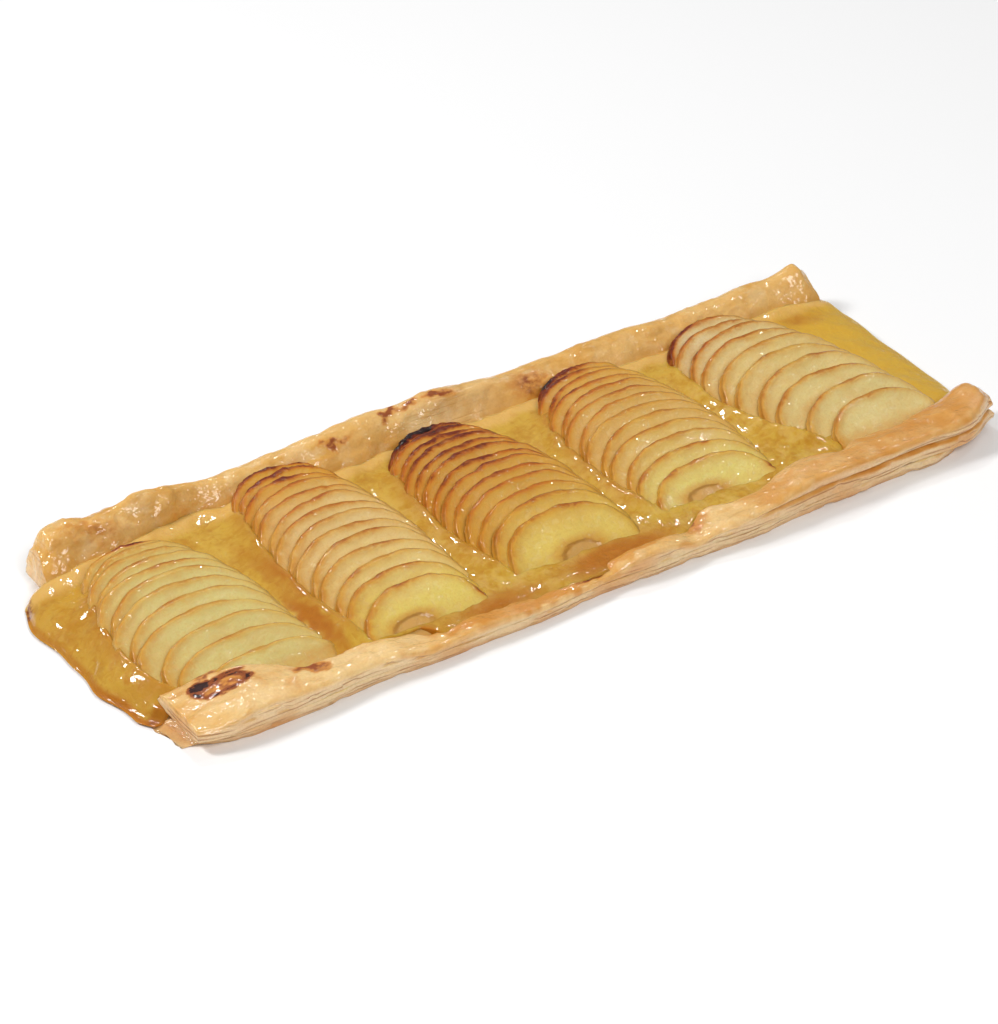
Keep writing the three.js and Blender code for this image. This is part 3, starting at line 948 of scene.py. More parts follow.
@dataclass
class RimStrip:
    """A strip of dough laid along one long side of the sheet."""

    lines: StripLines
    name: str
    node: str
    section: Ring
    side: int
    seed: float
    burns: tuple[Mark, ...] = ()
    pools: tuple[Mark, ...] = ()
    end_inset: float = 10.0
    end_gap: float = 5.0
    crown: float = 0.5
    soft: Span = (0.3, 0.25)
    fold: float = 0.0
    layers: Layers = Layers(seed=11.0, jut=0.65)

    def foot(self, x: float) -> float:
        """Y of the inner foot."""
        return self.lines.tall_inner(x) if self.side > 0 else self.lines.low_inner(x)

    def back(self, x: float) -> float:
        """Y of the outer foot."""
        return self.lines.tall_outer(x) if self.side > 0 else self.lines.low_side(x)

    def rise(self, x: float) -> float:
        """Height above the seam."""
        return self.lines.tall_rise(x) if self.side > 0 else self.lines.low_rise(x)

    def build(self) -> bpy.types.Object:
        """Models the strip: its rounded section drawn along the side, then its flakes and layers.

        Returns:
            The strip, in millimetres.
        """
        piece = Bench.bar(self.name, 104, (19, 20), (0.12, 0.14, 0.16, 0.18, 0.18))
        half = self.lines.length / 2
        start = -half + 1.3 * self.end_inset
        finish = half - self.end_gap

        def shaper(spot: Vector) -> Vector:
            eased = spot.x - 0.045 * math.sin(2 * math.pi * spot.x)
            straight = lerp(start, finish, eased)
            turn = math.atan2(spot.z, spot.y) / (2 * math.pi)
            rim = self.section.at(turn if self.side > 0 else -turn)
            across, up = mix((0.55, self.crown), rim, math.hypot(spot.y, spot.z))
            round_off = 1 - self.soft[0] * swell(spot.x, 0, 0.012) - self.soft[1] * swell(spot.x, 1, 0.012)
            y = lerp(self.foot(straight), self.back(straight), across)
            bow = 10 * up * (self.soft[0] * swell(spot.x, 0, 0.03) - self.soft[1] * swell(spot.x, 1, 0.03))
            return Vector((straight + bow, y, self.lines.seam + up * self.rise(straight) * round_off))

        def relief(place: Vector, normal: Vector) -> float:
            cut = self.cut_share(place, normal)
            low = ease(place.z, self.lines.seam - 0.5, self.lines.seam + 1.0)
            rough = 1 + 0.7 * ease(-place.x, 95, 125) if self.side > 0 else 1.0
            top = rough * puffed(place, self.seed) * (1 - cut)
            roll = stretch(place.x, 100, 240, 60)
            fold = self.fold * roll * swell(place.z, self.lines.seam + 4.8 + 0.5 * ripple(place.x / 12, 4), 0.9) * cut
            return low * (top + cut * self.layers.offset(place.x + place.y, place.z) - fold)

        Bench.shape(piece, shaper)
        Bench.face_out(piece)
        Bench.emboss(piece, relief)
        return piece

    def glazed(self, place: Vector, normal: Vector) -> float:
        """How amber the glaze is: in the pools, and where the inner face meets the compote."""
        pool = ease(strongest(self.pools, place), 0.0, 0.22)
        inner = ease(-self.side * normal.y, 0.1, 0.5) * (1 - ease(place.z - self.lines.seam, 4, 10))
        # Less amber round the middle of each strip, as painted light on the tall strip's inner face.
        inner *= 1 - 0.4 * swell(place.x, -5, 40)
        baked = 0.7 * ease(place.x, 50, 130) if self.side < 0 else 0.0
        return max(0.92 * pool, 0.9 * inner, baked) * (1 - self.cut_share(place, normal))

    def cut_share(self, place: Vector, normal: Vector) -> float:
        """1 on the cut outer side and ends, 0 on the glazed top and inner face."""
        outward = max(self.side * normal.y, abs(normal.x) * (0.62 if self.side > 0 else 1.0))
        share = ease(outward, 0.45, 0.8)
        crest = self.lines.seam + self.rise(place.x)
        return share * (1 - ease(place.z, crest - 3.4, crest - 1.4))

    def bare(self, place: Vector, normal: Vector) -> float:
        """How pale and layered the surface is: the cut sides, and a paler patch of painted light round the middle of
        the tall strip.
        """
        # Painted light: a paler patch round the middle of the tall strip.
        painted_light_patch = 0.2 * swell(place.x, 4, 26) if self.side > 0 else 0.0
        return max(self.cut_share(place, normal), painted_light_patch)

    def dress(self, piece: bpy.types.Object, material: bpy.types.Material) -> None:
        """Marks cut sides, burns and glaze pools, and gives the strip its finish.

        Args:
            piece: The modelled strip.
            material: The pastry's finish.
        """
        Bench.tint(piece, "side", self.bare)
        Bench.tint(piece, "burn", lambda place, normal: strongest(self.burns, place))
        Bench.tint(piece, "wet", self.glazed)
        Bench.finish(piece, material, Slot.PASTRY, self.node)


# ---- Compote -------------------------------------------------------------------------------------


@dataclass
class CompoteBed:
    """Apple compote from end to end between the rims."""

    lines: StripLines
    level: float = 9.0
    thin: float = 0.85
    nose: float = 2.6
    drip: float = 0.8
    sag: float = 2.4
    name: str = "compote_bed"
    pools: tuple[Mark, ...] = ()
    burns: tuple[Mark, ...] = ()
    dips: tuple[Mark, ...] = ()
    climb: float = 4.2
    climb_reach: float = 6.5
    over_rim: float = 4.8

    def clinging(self, x: float, y: float) -> float:
        """How far the compote is drawn up beside the nearest fan's left flank, in millimetres."""
        best = 0.0
        for fan in FANS:
            share = clamp((fan.y[0] - y) / (fan.y[0] - fan.y[1]))
            leftness = ease(fan.middle(share) - x, 8, 22)
            near = 1 - ease(fan.y[1] + 12 - y, 0, 12)
            away = fan.away(x, y)
            cling = math.exp(-(max(0.0, away) / self.climb_reach) ** 1.4) * (1 - ease(-away, 1, 4))
            best = max(best, leftness * near * cling)
        return self.climb * best * (1 + 0.2 * ripple(x / 11, y / 11, 31))

    def pulpy(self, x: float, y: float) -> float:
        """How coarse the compote is: most between the middle fans."""
        return stretch(x, -60, 115, 20) * (1 - ease(y, 10, 35))

    def flood(self, x: float) -> float:
        """How far the compote has run out over the low rim."""
        return (self.over_rim + 1.2 * ripple(x / 6, 41)) * stretch(x, -80, 30, 12)

    def left(self, y: float) -> float:
        """X of the left end, drawn in at its two corners."""
        lobes = 1.2 * math.sin(y / 6.5) * ease(abs(y), 2, 20)
        return self.lines.left_end(y) + 12 * ease(y, 47, 60) + 4 * ease(-y, 36, 46) + lobes

    def right(self, y: float) -> float:
        """X of the right end."""
        return self.lines.right_end(y) - 5 * ease(y, 46, 58)

    def height(self, x: float, y: float, end: float) -> float:
        """Height of the compote's surface above the floor.

        Args:
            x: Place along the strip.
            y: Place across it.
            end: Distance from the nearer end.

        Returns:
            The height in millimetres.
        """
        depth = self.level - self.lines.seam + wander(x + y, 12, 0.35, 2)
        depth -= sum(dip.strength * ease(dip.at(Vector((x, y, 0))) / dip.strength, 0.0, 0.4) for dip in self.dips)
        right = ease(x, 140, 180)
        depth *= 1 - self.thin * (1 - 0.45 * right) * math.exp(-((end / 11) ** 2))
        depth -= self.sag * (1 - 0.6 * right) * (1 - ease(end, 0, 9)) ** 2
        depth += (1.7 + 0.8 * ripple(x / 9, 3)) * ease(y - self.lines.tall_inner(x), -9, 4)
        depth -= 3.0 * (1 - ease(y, -40, -24)) * (1 - ease(x, -178, -166))
        depth -= 1.1 * ease(self.lines.low_inner(x) + 0.5 - y, 0, 6)
        pulpy = self.pulpy(x, y)
        lumps = (0.36 + 0.3 * ease(-x, 165, 180) + 0.2 * pulpy) * blotch(x / 11, y / 11, 5)
        lumps += (0.12 + 0.16 * pulpy) * ripple(x / 3.6, y / 3.6, 12)
        return self.lines.seam + depth + (lumps + self.clinging(x, y)) * ease(end, 0, 6)

    def build(self) -> bpy.types.Object:
        """Models the bed with its soft lumps and its run-out ends, which sag over the sheet.

        Returns:
            The bed, in millimetres.
        """
        piece = Bench.block(self.name, ((16, 20), (9, 10), (6,)))
        half = self.lines.length / 2

        def shaper(spot: Vector) -> Vector:
            share = spot.x - 0.07 * math.sin(2 * math.pi * spot.x)
            straight = lerp(-half, half, share)
            across = (0.97 * (2 * spot.y - 1) + 1) / 2
            near = self.lines.low_inner(straight) - max(3.2, 1.5 + self.flood(straight))
            near -= 5.5 * (1 - ease(straight, -188, -180))
            y = lerp(near, self.lines.tall_inner(straight) + 5.5, across)
            left, right = self.left(y), self.right(y)
            x = lerp(left, right, share)
            end = min(x - left, right - x, 0.9 * (y + 46) + 40 * ease(x, -188, -180))
            end = max(end, 0.0)
            bottom = lerp(self.drip, self.lines.seam, ease(end, 3.0, 7.0))
            quarter = math.sqrt(1 - (1 - clamp(end / self.nose)) ** 2)
            top = lerp(bottom + 0.6, max(bottom + 0.6, self.height(x, y, end)), quarter)
            bulge = 1.0 * math.sin(math.pi * spot.z) * (swell(end, 0, 1.0)) * math.copysign(1, x)
            return Vector((x + bulge, y, lerp(bottom, top, spot.z)))

        Bench.shape(piece, shaper)
        return piece

    def dress(self, piece: bpy.types.Object, material: bpy.types.Material) -> None:
        """Marks where the glaze pools and where shade is painted beside the fans and the low rim, and gives the bed its
        finish.

        Args:
            piece: The modelled bed.
            material: The compote's finish.
        """
        def amber(place: Vector, normal: Vector) -> float:
            border = 0.5 * (1 - ease(place.x - self.left(place.y), 0.3, 2.5)) + 0.15 * ease(place.y, 40, 50)
            border += 0.3 * (1 - ease(place.x + 0.5 * place.y, -210, -194))
            # Painted shade: darker amber where the compote climbs the fans' left flanks.
            border += 0.45 * self.clinging(place.x, place.y) / self.climb * (1 - 0.7 * ease(place.x, 40, 90))
            # Painted shade: darker amber along the low rim's inner edge towards the right end.
            border += 0.25 * ease(self.lines.low_inner(place.x) + 5 - place.y, 0, 5) * ease(place.x, 60, 100)
            return max(border, 1.5 * strongest(self.pools, place))

        def shore(place: Vector, normal: Vector) -> float:
            reach = 7 + 5 * ease(-place.x, 60, 100) + 3 * ripple(place.x / 9, 8)
            return ease(place.y - self.lines.tall_inner(place.x), -reach, 2.5)

        Bench.tint(piece, "amber", lambda place, normal: clamp(amber(place, normal)))
        Bench.tint(piece, "burn", lambda place, normal: strongest(self.burns, place))
        Bench.tint(piece, "shore", shore)
        Bench.tint(piece, "pulpy", lambda place, normal: self.pulpy(place.x, place.y))
        Bench.finish(piece, material, Slot.COMPOTE, "compote")


# ---- Apples --------------------------------------------------------------------------------------


@dataclass(frozen=True)
class Scorch:
    """Dark edges on some of a fan's slices.

    Angles are in degrees round the half moon, 0 at its right foot, 90 at its crest and 180 at its
    left foot.
    """

    first: int
    last: int
    strength: Span
    angle: float
    spread: float
    depth: float = 2.0

    def at(self, index: int, angle: float, edge: float) -> float:
        """How burnt a point of a slice is.

        Args:
            index: The slice's number in its fan, from the far end.
            angle: Where the point lies round the half moon.
            edge: Its distance from the slice's edge in millimetres.

        Returns:
            The burn, 0 where there is none.
        """
        if not self.first <= index <= self.last:
            return 0.0
        share = (index - self.first) / max(1, self.last - self.first)
        patchy = 1 + 0.7 * ripple(angle / 17, 2.3 * index, self.angle)
        around = patchy * swell(angle, self.angle, self.spread)
        return lerp(*self.strength, share) * around * (1 - ease(edge, 0, self.depth))


@dataclass(frozen=True)
class Fan:
    """One half apple cut into slices, from its far slice to its near one, in millimetres.

    `half` and `rise` are the slices' half width and height at the far, middle and near end, `cored`
    is how many near slices show the notch of the core, `core` is how far the notch sits off their
    middle, `flesh` is the flesh's colour at the far, middle and near end, and `tail` is how far the
    nearest slices are shifted to the right.
    """

    number: int
    slices: int
    x: Span
    y: Span
    lean: Span
    half: Trio
    rise: Trio
    cored: int
    core: float
    flesh: tuple[Colour, Colour, Colour]
    toast: float
    scorches: tuple[Scorch, ...] = ()
    tail: float = 0.0

    def middle(self, share: float) -> float:
        """X of a slice's middle, at a share of the way from the far slice to the near one."""
        return lerp(*self.x, share) + self.tail * ease(share, 0.7, 1.05)

    def away(self, x: float, y: float) -> float:
        """How far a place is from the fan's foot, negative under the fan."""
        share = clamp((self.y[0] - y) / (self.y[0] - self.y[1]))
        sideways = abs(x - self.middle(share)) - bell(self.half, share)
        beyond = max(y - self.y[0], self.y[1] - y)
        if sideways < 0 and beyond < 0:
            return max(sideways, beyond)
        return math.hypot(max(0.0, sideways), max(0.0, beyond))


class SliceBlank:
    """The one slice that every other is copied from: a disc with a fine rim and rings on both faces."""

    AROUND = 112
    RINGS = (0.015, 0.03, 0.05, 0.08, 0.12, 0.16, 0.18, 0.2)
    RIM_ROWS = 4

    def __init__(self) -> None:
        """Models the disc between Z = -1 and Z = 0."""
        Bench.clear()
        bpy.ops.mesh.primitive_cylinder_add(vertices=self.AROUND, radius=1, depth=1, location=(0, 0, -0.5))
        self.piece = bpy.context.object
        bpy.ops.object.transform_apply(location=True, rotation=True, scale=True)
        bpy.ops.object.mode_set(mode="EDIT")
        Bench.ring_ends(self.piece, 2, self.RINGS)
        Bench.cut(self.piece, 2, (self.RIM_ROWS,))
        bpy.ops.object.mode_set(mode="OBJECT")

    def copy(self, name: str) -> bpy.types.Object:
        """A copy with its own mesh.

        Args:
            name: The copy's name.

        Returns:
            The new object.
        """
        copy = bpy.data.objects.new(name, self.piece.data.copy())
        bpy.context.scene.collection.objects.link(copy)
        return copy

    def discard(self) -> None:
        """Removes the blank once every slice is made."""
        bpy.data.objects.remove(self.piece)


@dataclass
class AppleFan:
    """The slices of one half apple."""

    fan: Fan
    level: float = 9.0
    sink: float = 7.0
    squareness: float = 0.9
    taper: float = 0.4
    core_radius: float = 8.9
    core_height: float = 4.8
    foot_angle: float = 20.0
    arc_share: float = 0.70
    fill: float = 1.06
    roll: float = 0.9
    lip: float = 0.3
    crease_width: float = 1.4

    def uneven(self, index: int, salt: float) -> float:
        """A hand-cut difference between -1 and 1 for one slice."""
        return math.sin(7.3 * self.fan.number + 3.1 * index + salt)

    def outline(self, share: float, half: float, rise: float) -> tuple[float, float, float]:
        """A point on the half moon's edge.

        Args:
            share: The share of the way round, from the right foot over the crest.
            half: Half width.
            rise: Height above the compote.

        Returns:
            Across and up in millimetres, and the angle in degrees.
        """
        if share <= self.arc_share:
            span = 180 + 2 * self.foot_angle
            angle = share / self.arc_share * span - self.foot_angle
            cosine, sine = math.cos(math.radians(angle)), math.sin(math.radians(angle))
            across = half * math.copysign(abs(cosine) ** self.squareness, cosine)
            if sine < 0:
                return across, self.sink * sine / math.sin(math.radians(self.foot_angle)), angle
            return across, rise * sine ** (self.squareness + self.taper * (1 - ease(angle, 0, 80))), angle
        along = (share - self.arc_share) / (1 - self.arc_share)
        half_foot = half * math.cos(math.radians(self.foot_angle)) ** self.squareness
        return lerp(-half_foot, half_foot, along), -self.sink, lerp(180 + self.foot_angle, 360 - self.foot_angle, along)

    def notch(self, point: Vector) -> float:
        """How far a point of a face is outside the filled hollow of the core, in millimetres."""
        across = abs(point.x - self.fan.core) / self.core_radius
        up = max(0.0, point.y) / self.core_height
        return ((across ** 2.6 + up ** 2.6) ** (1 / 2.6) - 1) * self.core_height

    def build(self, blank: SliceBlank) -> list[bpy.types.Object]:
        """Cuts, leans and lays every slice.

        Args:
            blank: The slice to copy.

        Returns:
            The slices in millimetres, from the far one to the near one.
        """
        return [self.slice(blank, index) for index in range(self.fan.slices)]

    def slice(self, blank: SliceBlank, index: int) -> bpy.types.Object:
        """Shapes one slice and marks its edge, browning and colour.

        Args:
            blank: The slice to copy.
            index: Its number in the fan, from the far end.

        Returns:
            The slice, in millimetres.
        """
        fan = self.fan
        share = index / (fan.slices - 1)
        lean = math.radians(lerp(*fan.lean, share))
        pitch = (fan.y[0] - fan.y[1]) / (fan.slices - 1)
        thickness = self.fill * pitch * math.cos(lean)
        half = bell(fan.half, share) + 0.7 * self.uneven(index, 1)
        rise = bell(fan.rise, share) + 0.7 * self.uneven(index, 2)
        cored = index >= fan.slices - fan.cored
        turn = (Matrix.Rotation(math.pi / 2 - lean, 4, "X") @ Matrix.Rotation(0.035 * self.uneven(index, 3), 4, "Z"))
        foot = Vector((fan.middle(share) + 0.6 * self.uneven(index, 4),
                       lerp(*fan.y, share) + 0.7 * self.uneven(index, 5), self.level))
        heart = Vector((0.6 * fan.core, 0.3 * rise)) if cored else Vector((0, 0.55 * rise))
        piece = blank.copy(f"apple_{fan.number}_slice_{index + 1:02d}")
        marks = {"edge": [], "toast": [], "burn": [], "groove": [], "dry": [], "notch": []}
        after = min(1.0, share + 1 / (fan.slices - 1))
        above = (bell(fan.half, after), bell(fan.rise, after), pitch * math.sin(lean))
        flesh: list[float] = []
        for vertex in piece.data.vertices:
            radius = min(1.0, math.hypot(vertex.co.x, vertex.co.y))
            around = (math.atan2(vertex.co.y, vertex.co.x) / (2 * math.pi)) % 1.0
            back = -vertex.co.z
            across, up, angle = self.outline(around, half, rise)
            charred = max([0.0, *(scorch.at(index, angle, 0.0) for scorch in fan.scorches)])
            jag = (0.9 * ripple(angle / 30, 1.3 * index, fan.number) + 0.6 * ripple(angle / 11, 2.7 * index, fan.number)
                   + 0.34 * (1 + charred) * ripple(angle / 4.5, 3.9 * index, fan.number))
            rim = Vector((across, up))
            reach = (rim - heart).length
            rim = heart + (rim - heart) * (1 + jag / max(reach, 1))
            edge = (1 - radius) * reach
            flank = ease(-math.cos(math.radians(angle)), 0.1, 0.95)
            roll = self.roll * (1 - 0.35 * flank)
            if radius > 0.9999:
                rounding = (0.9 if back < 0.5 else 0.35) * abs(2 * back - 1) ** 3
                point = heart + (rim - heart) * (1 - rounding / max(reach, 1))
                deep = lerp(roll, thickness - 0.3, back)
            else:
                point = heart + (rim - heart) * radius
                turned = (1 - ease(edge, 0, 2.6 - 0.8 * flank)) ** 1.5
                lip = self.lip * swell(edge, 2.2, 1.4)
                deep = (roll - 0.1) * turned - lip if back < 0.5 else thickness - 0.3 * radius ** 6
            bend = 0.6 * ripple(point.x / 14, point.y / 12, 3.3 * fan.number + 0.7 * index)
            bend += 0.14 * ripple(point.x / 4, point.y / 3, 5.1 * fan.number + index)
            vertex.co = turn @ Vector((point.x, point.y, bend - deep)) + foot
            front = back < 0.5 and radius < 0.9999
            marks["edge"].append(edge if front else 0.5 * back)
            marks["toast"].append(self.toasting(index, angle, back))
            marks["burn"].append(max([0.0, *(s.at(index, angle, edge) for s in fan.scorches)]) * (1 - 0.5 * back))
            # The nearest slice has no slice on it, so amber gathers at its foot instead: glaze and painted shade, as in
            # the creases.
            seam = (0.3 if cored else 0.75) * (1 - ease(point.y, 0.5, 5.5))
            under = self.crease(point, above) if share < 1 else seam
            soaked = (0.78 - 0.08 * fan.number) * flank * (1 - ease(edge, 4, 10))
            marks["groove"].append(max(under, soaked) if front else max(soaked, 0.5 * ease(back, 0.4, 0.9)))
            marks["notch"].append(self.notch(point) if cored and front else 50.0)
            marks["dry"].append((1 - ease(edge, 0.6, 2.4)) * (1 - flank) * (0.6 + 0.4 * ripple(angle / 6, 1.7 * index)))
            flesh.extend((*self.flesh(share, point, rise, cored), 1.0))
        for name, values in marks.items():
            piece.data.attributes.new(name, "FLOAT", "POINT").data.foreach_set("value", values)
        piece.data.attributes.new("flesh", "FLOAT_COLOR", "POINT").data.foreach_set("color", flesh)
        piece.data.update()
        return piece

    def crease(self, point: Vector, above: Trio) -> float:
        """How much glaze and shade gathers where the next slice lies on this one.

        Args:
            point: A point of the slice's face, from the middle of its foot.
            above: The next slice's half width and height, and how far down this face its foot is.

        Returns:
            1 at the next slice's edge, fading to 0 away from it.
        """
        half, rise, down = above
        reach = math.hypot(point.x / half, max(0.0, point.y + down) / rise)
        beyond = (reach - 1) * math.hypot(point.x, point.y + down) / max(reach, 0.01)
        return (0.2 + 0.3 * self.fan.toast) * (1 - ease(beyond, -1.0, self.crease_width))

    def toasting(self, index: int, angle: float, back: float) -> float:
        """How browned the edge is round the half moon: most at the crest and left, least at the right."""
        place = (0.35 + 0.65 * ease(angle, 35, 85)) * (1 - 0.35 * ease(angle, 125, 172))
        place *= 1 - ease(angle, 184, 204)
        patches = 0.78 + 0.75 * ripple(angle / 22, 1.9 * index, self.fan.number + 8)
        return clamp(self.fan.toast * place * patches) * (1 - 0.6 * ease(back, 0.1, 0.6))

    def flesh(self, share: float, point: Vector, rise: float, cored: bool) -> tuple[float, ...]:
        """The flesh's own colour at a point, ripest round the notch of cored slices."""
        far, middle, near = self.fan.flesh
        colour = mix(far, middle, ease(share, 0.0, 0.5))
        ripe = 0.5 * ease(share, 0.55, 1.0)
        if cored:
            ripe += 0.6 * (1 - ease(point.y / rise, 0.3, 0.95))
        return mix(colour, near, clamp(ripe))

    def dress(self, slices: Sequence[bpy.types.Object], material: bpy.types.Material) -> None:
        """Gives every slice the apple's finish.

        Args:
            slices: The modelled slices.
            material: The apple's finish.
        """
        for piece in slices:
            Bench.finish(piece, material, Slot.APPLE, f"apple_fan_{self.fan.number}")


# ---- Studio --------------------------------------------------------------------------------------


@dataclass(frozen=True)
class Softbox:
    """A square area light: where it stands as seen from the strip, its width and its power."""

    name: str
    azimuth: float
    elevation: float
    distance: float
    width: float
    power: float


@dataclass(frozen=True)
class Studio:
    """A pale floor, soft lights and the camera, in metres and degrees."""

    azimuth: float = -34.243
    elevation: float = 33.910
    distance: float = 1.42049
    target: Trio = (-0.006741, 0.003380, 0.0)
    lens: float = 126.56
    sky: float = 0.22
    floor: float = 0.92
    boxes: tuple[Softbox, ...] = (
        Softbox("key", -120.0, 46.0, 1.8, 0.40, 17.0),
        Softbox("front", -12.0, 46.0, 1.9, 0.80, 17.0),
        Softbox("back", 166.0, 52.0, 1.4, 0.12, 3.0),
        Softbox("window", 98.0, 52.0, 1.4, 0.07, 1.2),
        Softbox("glint_right", 41.0, 42.0, 1.4, 0.05, 0.6),
        Softbox("glint_back", 135.0, 48.0, 1.4, 0.05, 0.6),
    )

    @staticmethod
    def towards(azimuth: float, elevation: float) -> Vector:
        """The direction of a thing seen from the strip: azimuth 0 is the near side, 90 the right end."""
        a, e = math.radians(azimuth), math.radians(elevation)
        return Vector((math.sin(a) * math.cos(e), -math.cos(a) * math.cos(e), math.sin(e)))

    def build(self) -> None:
        """Sets up the floor, the lights and the camera."""
        scene = bpy.context.scene
        scene.view_settings.view_transform = "Standard"
        self.lay_floor()
        for box in self.boxes:
            self.hang(box)
        world = bpy.data.worlds.new("studio")
        world.use_nodes = True
        world.node_tree.nodes["Background"].inputs["Color"].default_value = (1, 1, 1, 1)
        world.node_tree.nodes["Background"].inputs["Strength"].default_value = self.sky
        scene.world = world
        camera = bpy.data.cameras.new("camera")
        camera.lens = self.lens
        holder = bpy.data.objects.new("camera", camera)
        scene.collection.objects.link(holder)
        back = self.towards(self.azimuth, self.elevation)
        holder.location = Vector(self.target) + back * self.distance
        holder.rotation_euler = back.to_track_quat("Z", "Y").to_euler()
        scene.camera = holder

    def lay_floor(self) -> None:
        """Lays a plain pale floor."""
        Bench.clear()
        bpy.ops.mesh.primitive_plane_add(size=8)
        floor = bpy.context.object
        floor.name = "floor"
        recipe = Recipe("floor")
        shade = (self.floor, self.floor, self.floor)
        floor.data.materials.append(recipe.dress(Base_Color=shade, Roughness=0.9, Specular_IOR_Level=0.0))
        floor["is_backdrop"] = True

    def hang(self, box: Softbox) -> None:
        """Hangs one light, turned to the strip."""
        light = bpy.data.lights.new(box.name, "AREA")
        light.size = box.width
        light.energy = box.power
        holder = bpy.data.objects.new(box.name, light)
        bpy.context.scene.collection.objects.link(holder)
        direction = self.towards(box.azimuth, box.elevation)
        holder.location = direction * box.distance
        holder.rotation_euler = direction.to_track_quat("Z", "Y").to_euler()


# ---- The strip -----------------------------------------------------------------------------------

TALL_SECTION = Ring([(1.07, 0.40), (1.05, 0.66), (1.0, 0.86), (0.87, 1.0), (0.68, 0.96), (0.5, 0.78), (0.24, 0.4),
                     (0.02, 0.04), (0.04, -0.06), (0.5, -0.06), (0.97, -0.04), (1.04, 0.10)])
LOW_SECTION = Ring([(1.04, 0.36), (1.02, 0.66), (0.98, 0.86), (0.86, 0.97), (0.58, 1.0), (0.28, 0.98), (0.08, 0.86),
                    (0.0, 0.45),
                    (0.0, 0.03), (0.05, -0.06), (0.5, -0.06), (0.97, -0.04), (1.03, 0.12)])

FANS = (
    Fan(1, 12, (-152, -149), (27, -48), (62, 66), (24, 34, 28), (19, 25.5, 12.5), 0, 0.0,
        (screen(213, 197, 127), screen(211, 195, 126), screen(202, 182, 112)), 0.7,
        (Scorch(0, 0, (1.1, 1.1), 87, 20, 2.6), Scorch(7, 7, (0.6, 0.6), 100, 7, 1.4)), 8.0),
    Fan(2, 14, (-78, -76), (42, -53), (62, 62), (24, 31, 27), (20, 25, 19), 2, -7.5,
        (screen(212, 158, 62), screen(223, 195, 134), screen(219, 196, 102)), 0.95,
        (Scorch(0, 2, (1.1, 0.75), 95, 56, 4.4), Scorch(3, 7, (0.5, 0.2), 100, 44, 3.4),
         Scorch(13, 13, (0.8, 0.8), 11, 11, 4.5))),
    Fan(3, 13, (-12, -5), (32, -49), (60, 55), (25, 33, 30), (19, 26, 22), 2, 1.8,
        (screen(209, 152, 66), screen(210, 160, 74), screen(222, 194, 98)), 1.0,
        (Scorch(0, 0, (1.9, 1.9), 108, 50, 6.0), Scorch(1, 6, (1.15, 0.8), 98, 60, 4.9),
         Scorch(7, 10, (0.7, 0.45), 98, 52, 4.2))),
    Fan(4, 13, (62, 66), (35, -45), (60, 64), (25, 34, 29), (20, 26, 18), 2, -6.5,
        (screen(217, 170, 84), screen(213, 174, 101), screen(219, 201, 114)), 1.0,
        (Scorch(0, 0, (1.4, 1.4), 122, 46, 5.0), Scorch(1, 6, (0.8, 0.35), 118, 46, 4.0),
         Scorch(12, 12, (0.8, 0.8), 11, 10, 4.2))),
    Fan(5, 10, (128, 149), (33, -46), (58, 62), (26, 34.5, 26.5), (21, 26, 18), 0, 0.0,
        (screen(225, 209, 160), screen(219, 195, 128), screen(212, 197, 134)), 0.92,
        (Scorch(0, 0, (1.1, 1.1), 130, 52, 3.4), Scorch(1, 4, (0.5, 0.3), 125, 34, 3.0)), 4.0),
)

LOW_BURNS = (
    Mark(-163.5, -48.3, 13, 5.0, 0.85, -5, hollow=True, ragged=0.6),
    Mark(-163.5, -48.3, 14, 5.6, 0.32, -5),
    Mark(-170.5, -44.5, 6.2, 3.2, 2.4, 12),
    Mark(-162, -44.3, 12, 2.3, 1.35, 4),
    Mark(-164, -39.5, 9, 2.6, 0.5, 4, ragged=2.5),
    Mark(-131, -56.5, 10, 3.2, 0.5, -16, ragged=2.5),
    Mark(-10, -63.5, 9, 1.6, 0.9, 4),
    Mark(43, -58.0, 7, 3.6, 0.35, 60, ragged=2.5),
)
TALL_BURNS = (
    Mark(-21, 61.5, 6, 2.8, 0.75, 10, ragged=3),
    Mark(3, 60.5, 8, 2.4, 0.75, -8, ragged=3),
    Mark(-10, 62, 5, 2.2, 0.5, ragged=3),
    Mark(-48, 58, 9, 2.0, 0.4, ragged=3),
    Mark(-158, 58, 19, 4.0, 0.17, -6, ragged=3),
    Mark(-118, 55, 16, 3.0, 0.18, 6, ragged=3),
    Mark(-72, 57, 12, 4.0, 0.12, ragged=3),
    Mark(45, 56, 14, 7.0, 0.26, ragged=3),
)
LOW_POOLS = (
    Mark(-163.5, -48.3, 12, 4.4, 0.7, -5),
    Mark(-130, -57, 9, 3.8, 0.8, -20, ragged=2.5),
    Mark(-40, -60, 46, 9.0, 1.0, ragged=2.5),
    Mark(14, -58, 34, 5.0, 1.0, 4, ragged=2.5),
    Mark(43, -57, 9, 6.0, 0.45, ragged=2.5),
    Mark(115, -51, 14, 4.0, 0.7, ragged=2.5),
)
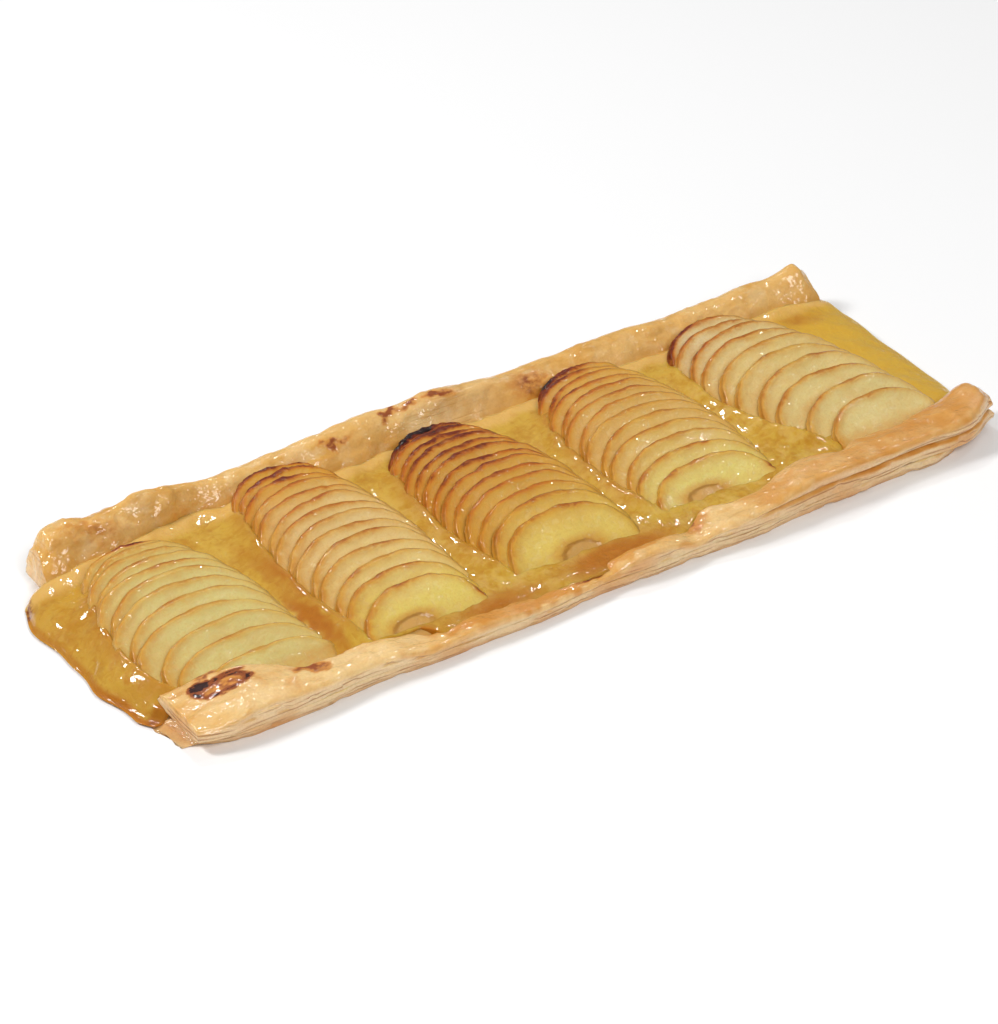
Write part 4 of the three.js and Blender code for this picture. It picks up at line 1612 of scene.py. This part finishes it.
COMPOTE_POOLS = (
    Mark(-113.0, -30, 6.5, 36, 0.75, 3, ragged=2.5),
    Mark(-109.0, -2, 8.5, 52, 0.5, 5, ragged=3),
    Mark(-82, -59, 10, 8, 0.7, ragged=2.5),
    Mark(-50, -60, 40, 15, 0.6, ragged=2.5),
    Mark(8, -57, 42, 14, 0.8, ragged=2.5),
    Mark(172, 41, 26, 12, 0.4, -8, ragged=3),
    Mark(-186, -43, 14, 8, 1.0),
)
COMPOTE_BURNS = (
    Mark(-196, 46, 7, 9, 1.0),
    Mark(-191, -42, 8, 4, 0.5),
)
COMPOTE_DIPS = (
    Mark(-148, -54, 44, 13, 2.6),
    Mark(150, -52, 36, 12, 2.4),
)


def main() -> None:
    """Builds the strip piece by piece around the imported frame."""
    logging.basicConfig(level=logging.INFO, format="%(message)s")
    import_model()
    low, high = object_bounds()
    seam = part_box("pastry_base")[1].z / MM
    lines = StripLines(length=(high[0] - low[0]) / MM, seam=seam)

    pastry = PastryFinish(amber=screen(206, 150, 62)).make("pastry")
    pale_pastry = PastryFinish(pale=screen(236, 200, 136), golden=screen(224, 172, 94), sparkle=0.65)
    pale_pastry = pale_pastry.make("pale_pastry")
    sheet = BaseSheet(lines)
    sheet.dress(sheet.build(), pale_pastry)
    tall = RimStrip(lines, "rim_tall_strip", "rim_tall", TALL_SECTION, 1, 2.0, TALL_BURNS)
    tall.dress(tall.build(), pastry)
    near = RimStrip(lines, "rim_low_strip", "rim_low", LOW_SECTION, -1, 6.0, LOW_BURNS, LOW_POOLS,
                    end_gap=1.5, soft=(0.03, 0.22), fold=2.6)
    near.dress(near.build(), pale_pastry)

    bed = CompoteBed(lines, pools=COMPOTE_POOLS, burns=COMPOTE_BURNS, dips=COMPOTE_DIPS)
    bed.dress(bed.build(), CompoteFinish().make("compote"))

    blank = SliceBlank()
    flesh = AppleFinish().make("apple")
    for fan in FANS:
        half_apple = AppleFan(fan)
        half_apple.dress(half_apple.build(blank), flesh)
    blank.discard()

    Studio().build()
    low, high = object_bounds()


if __name__ == "__main__":
    main()
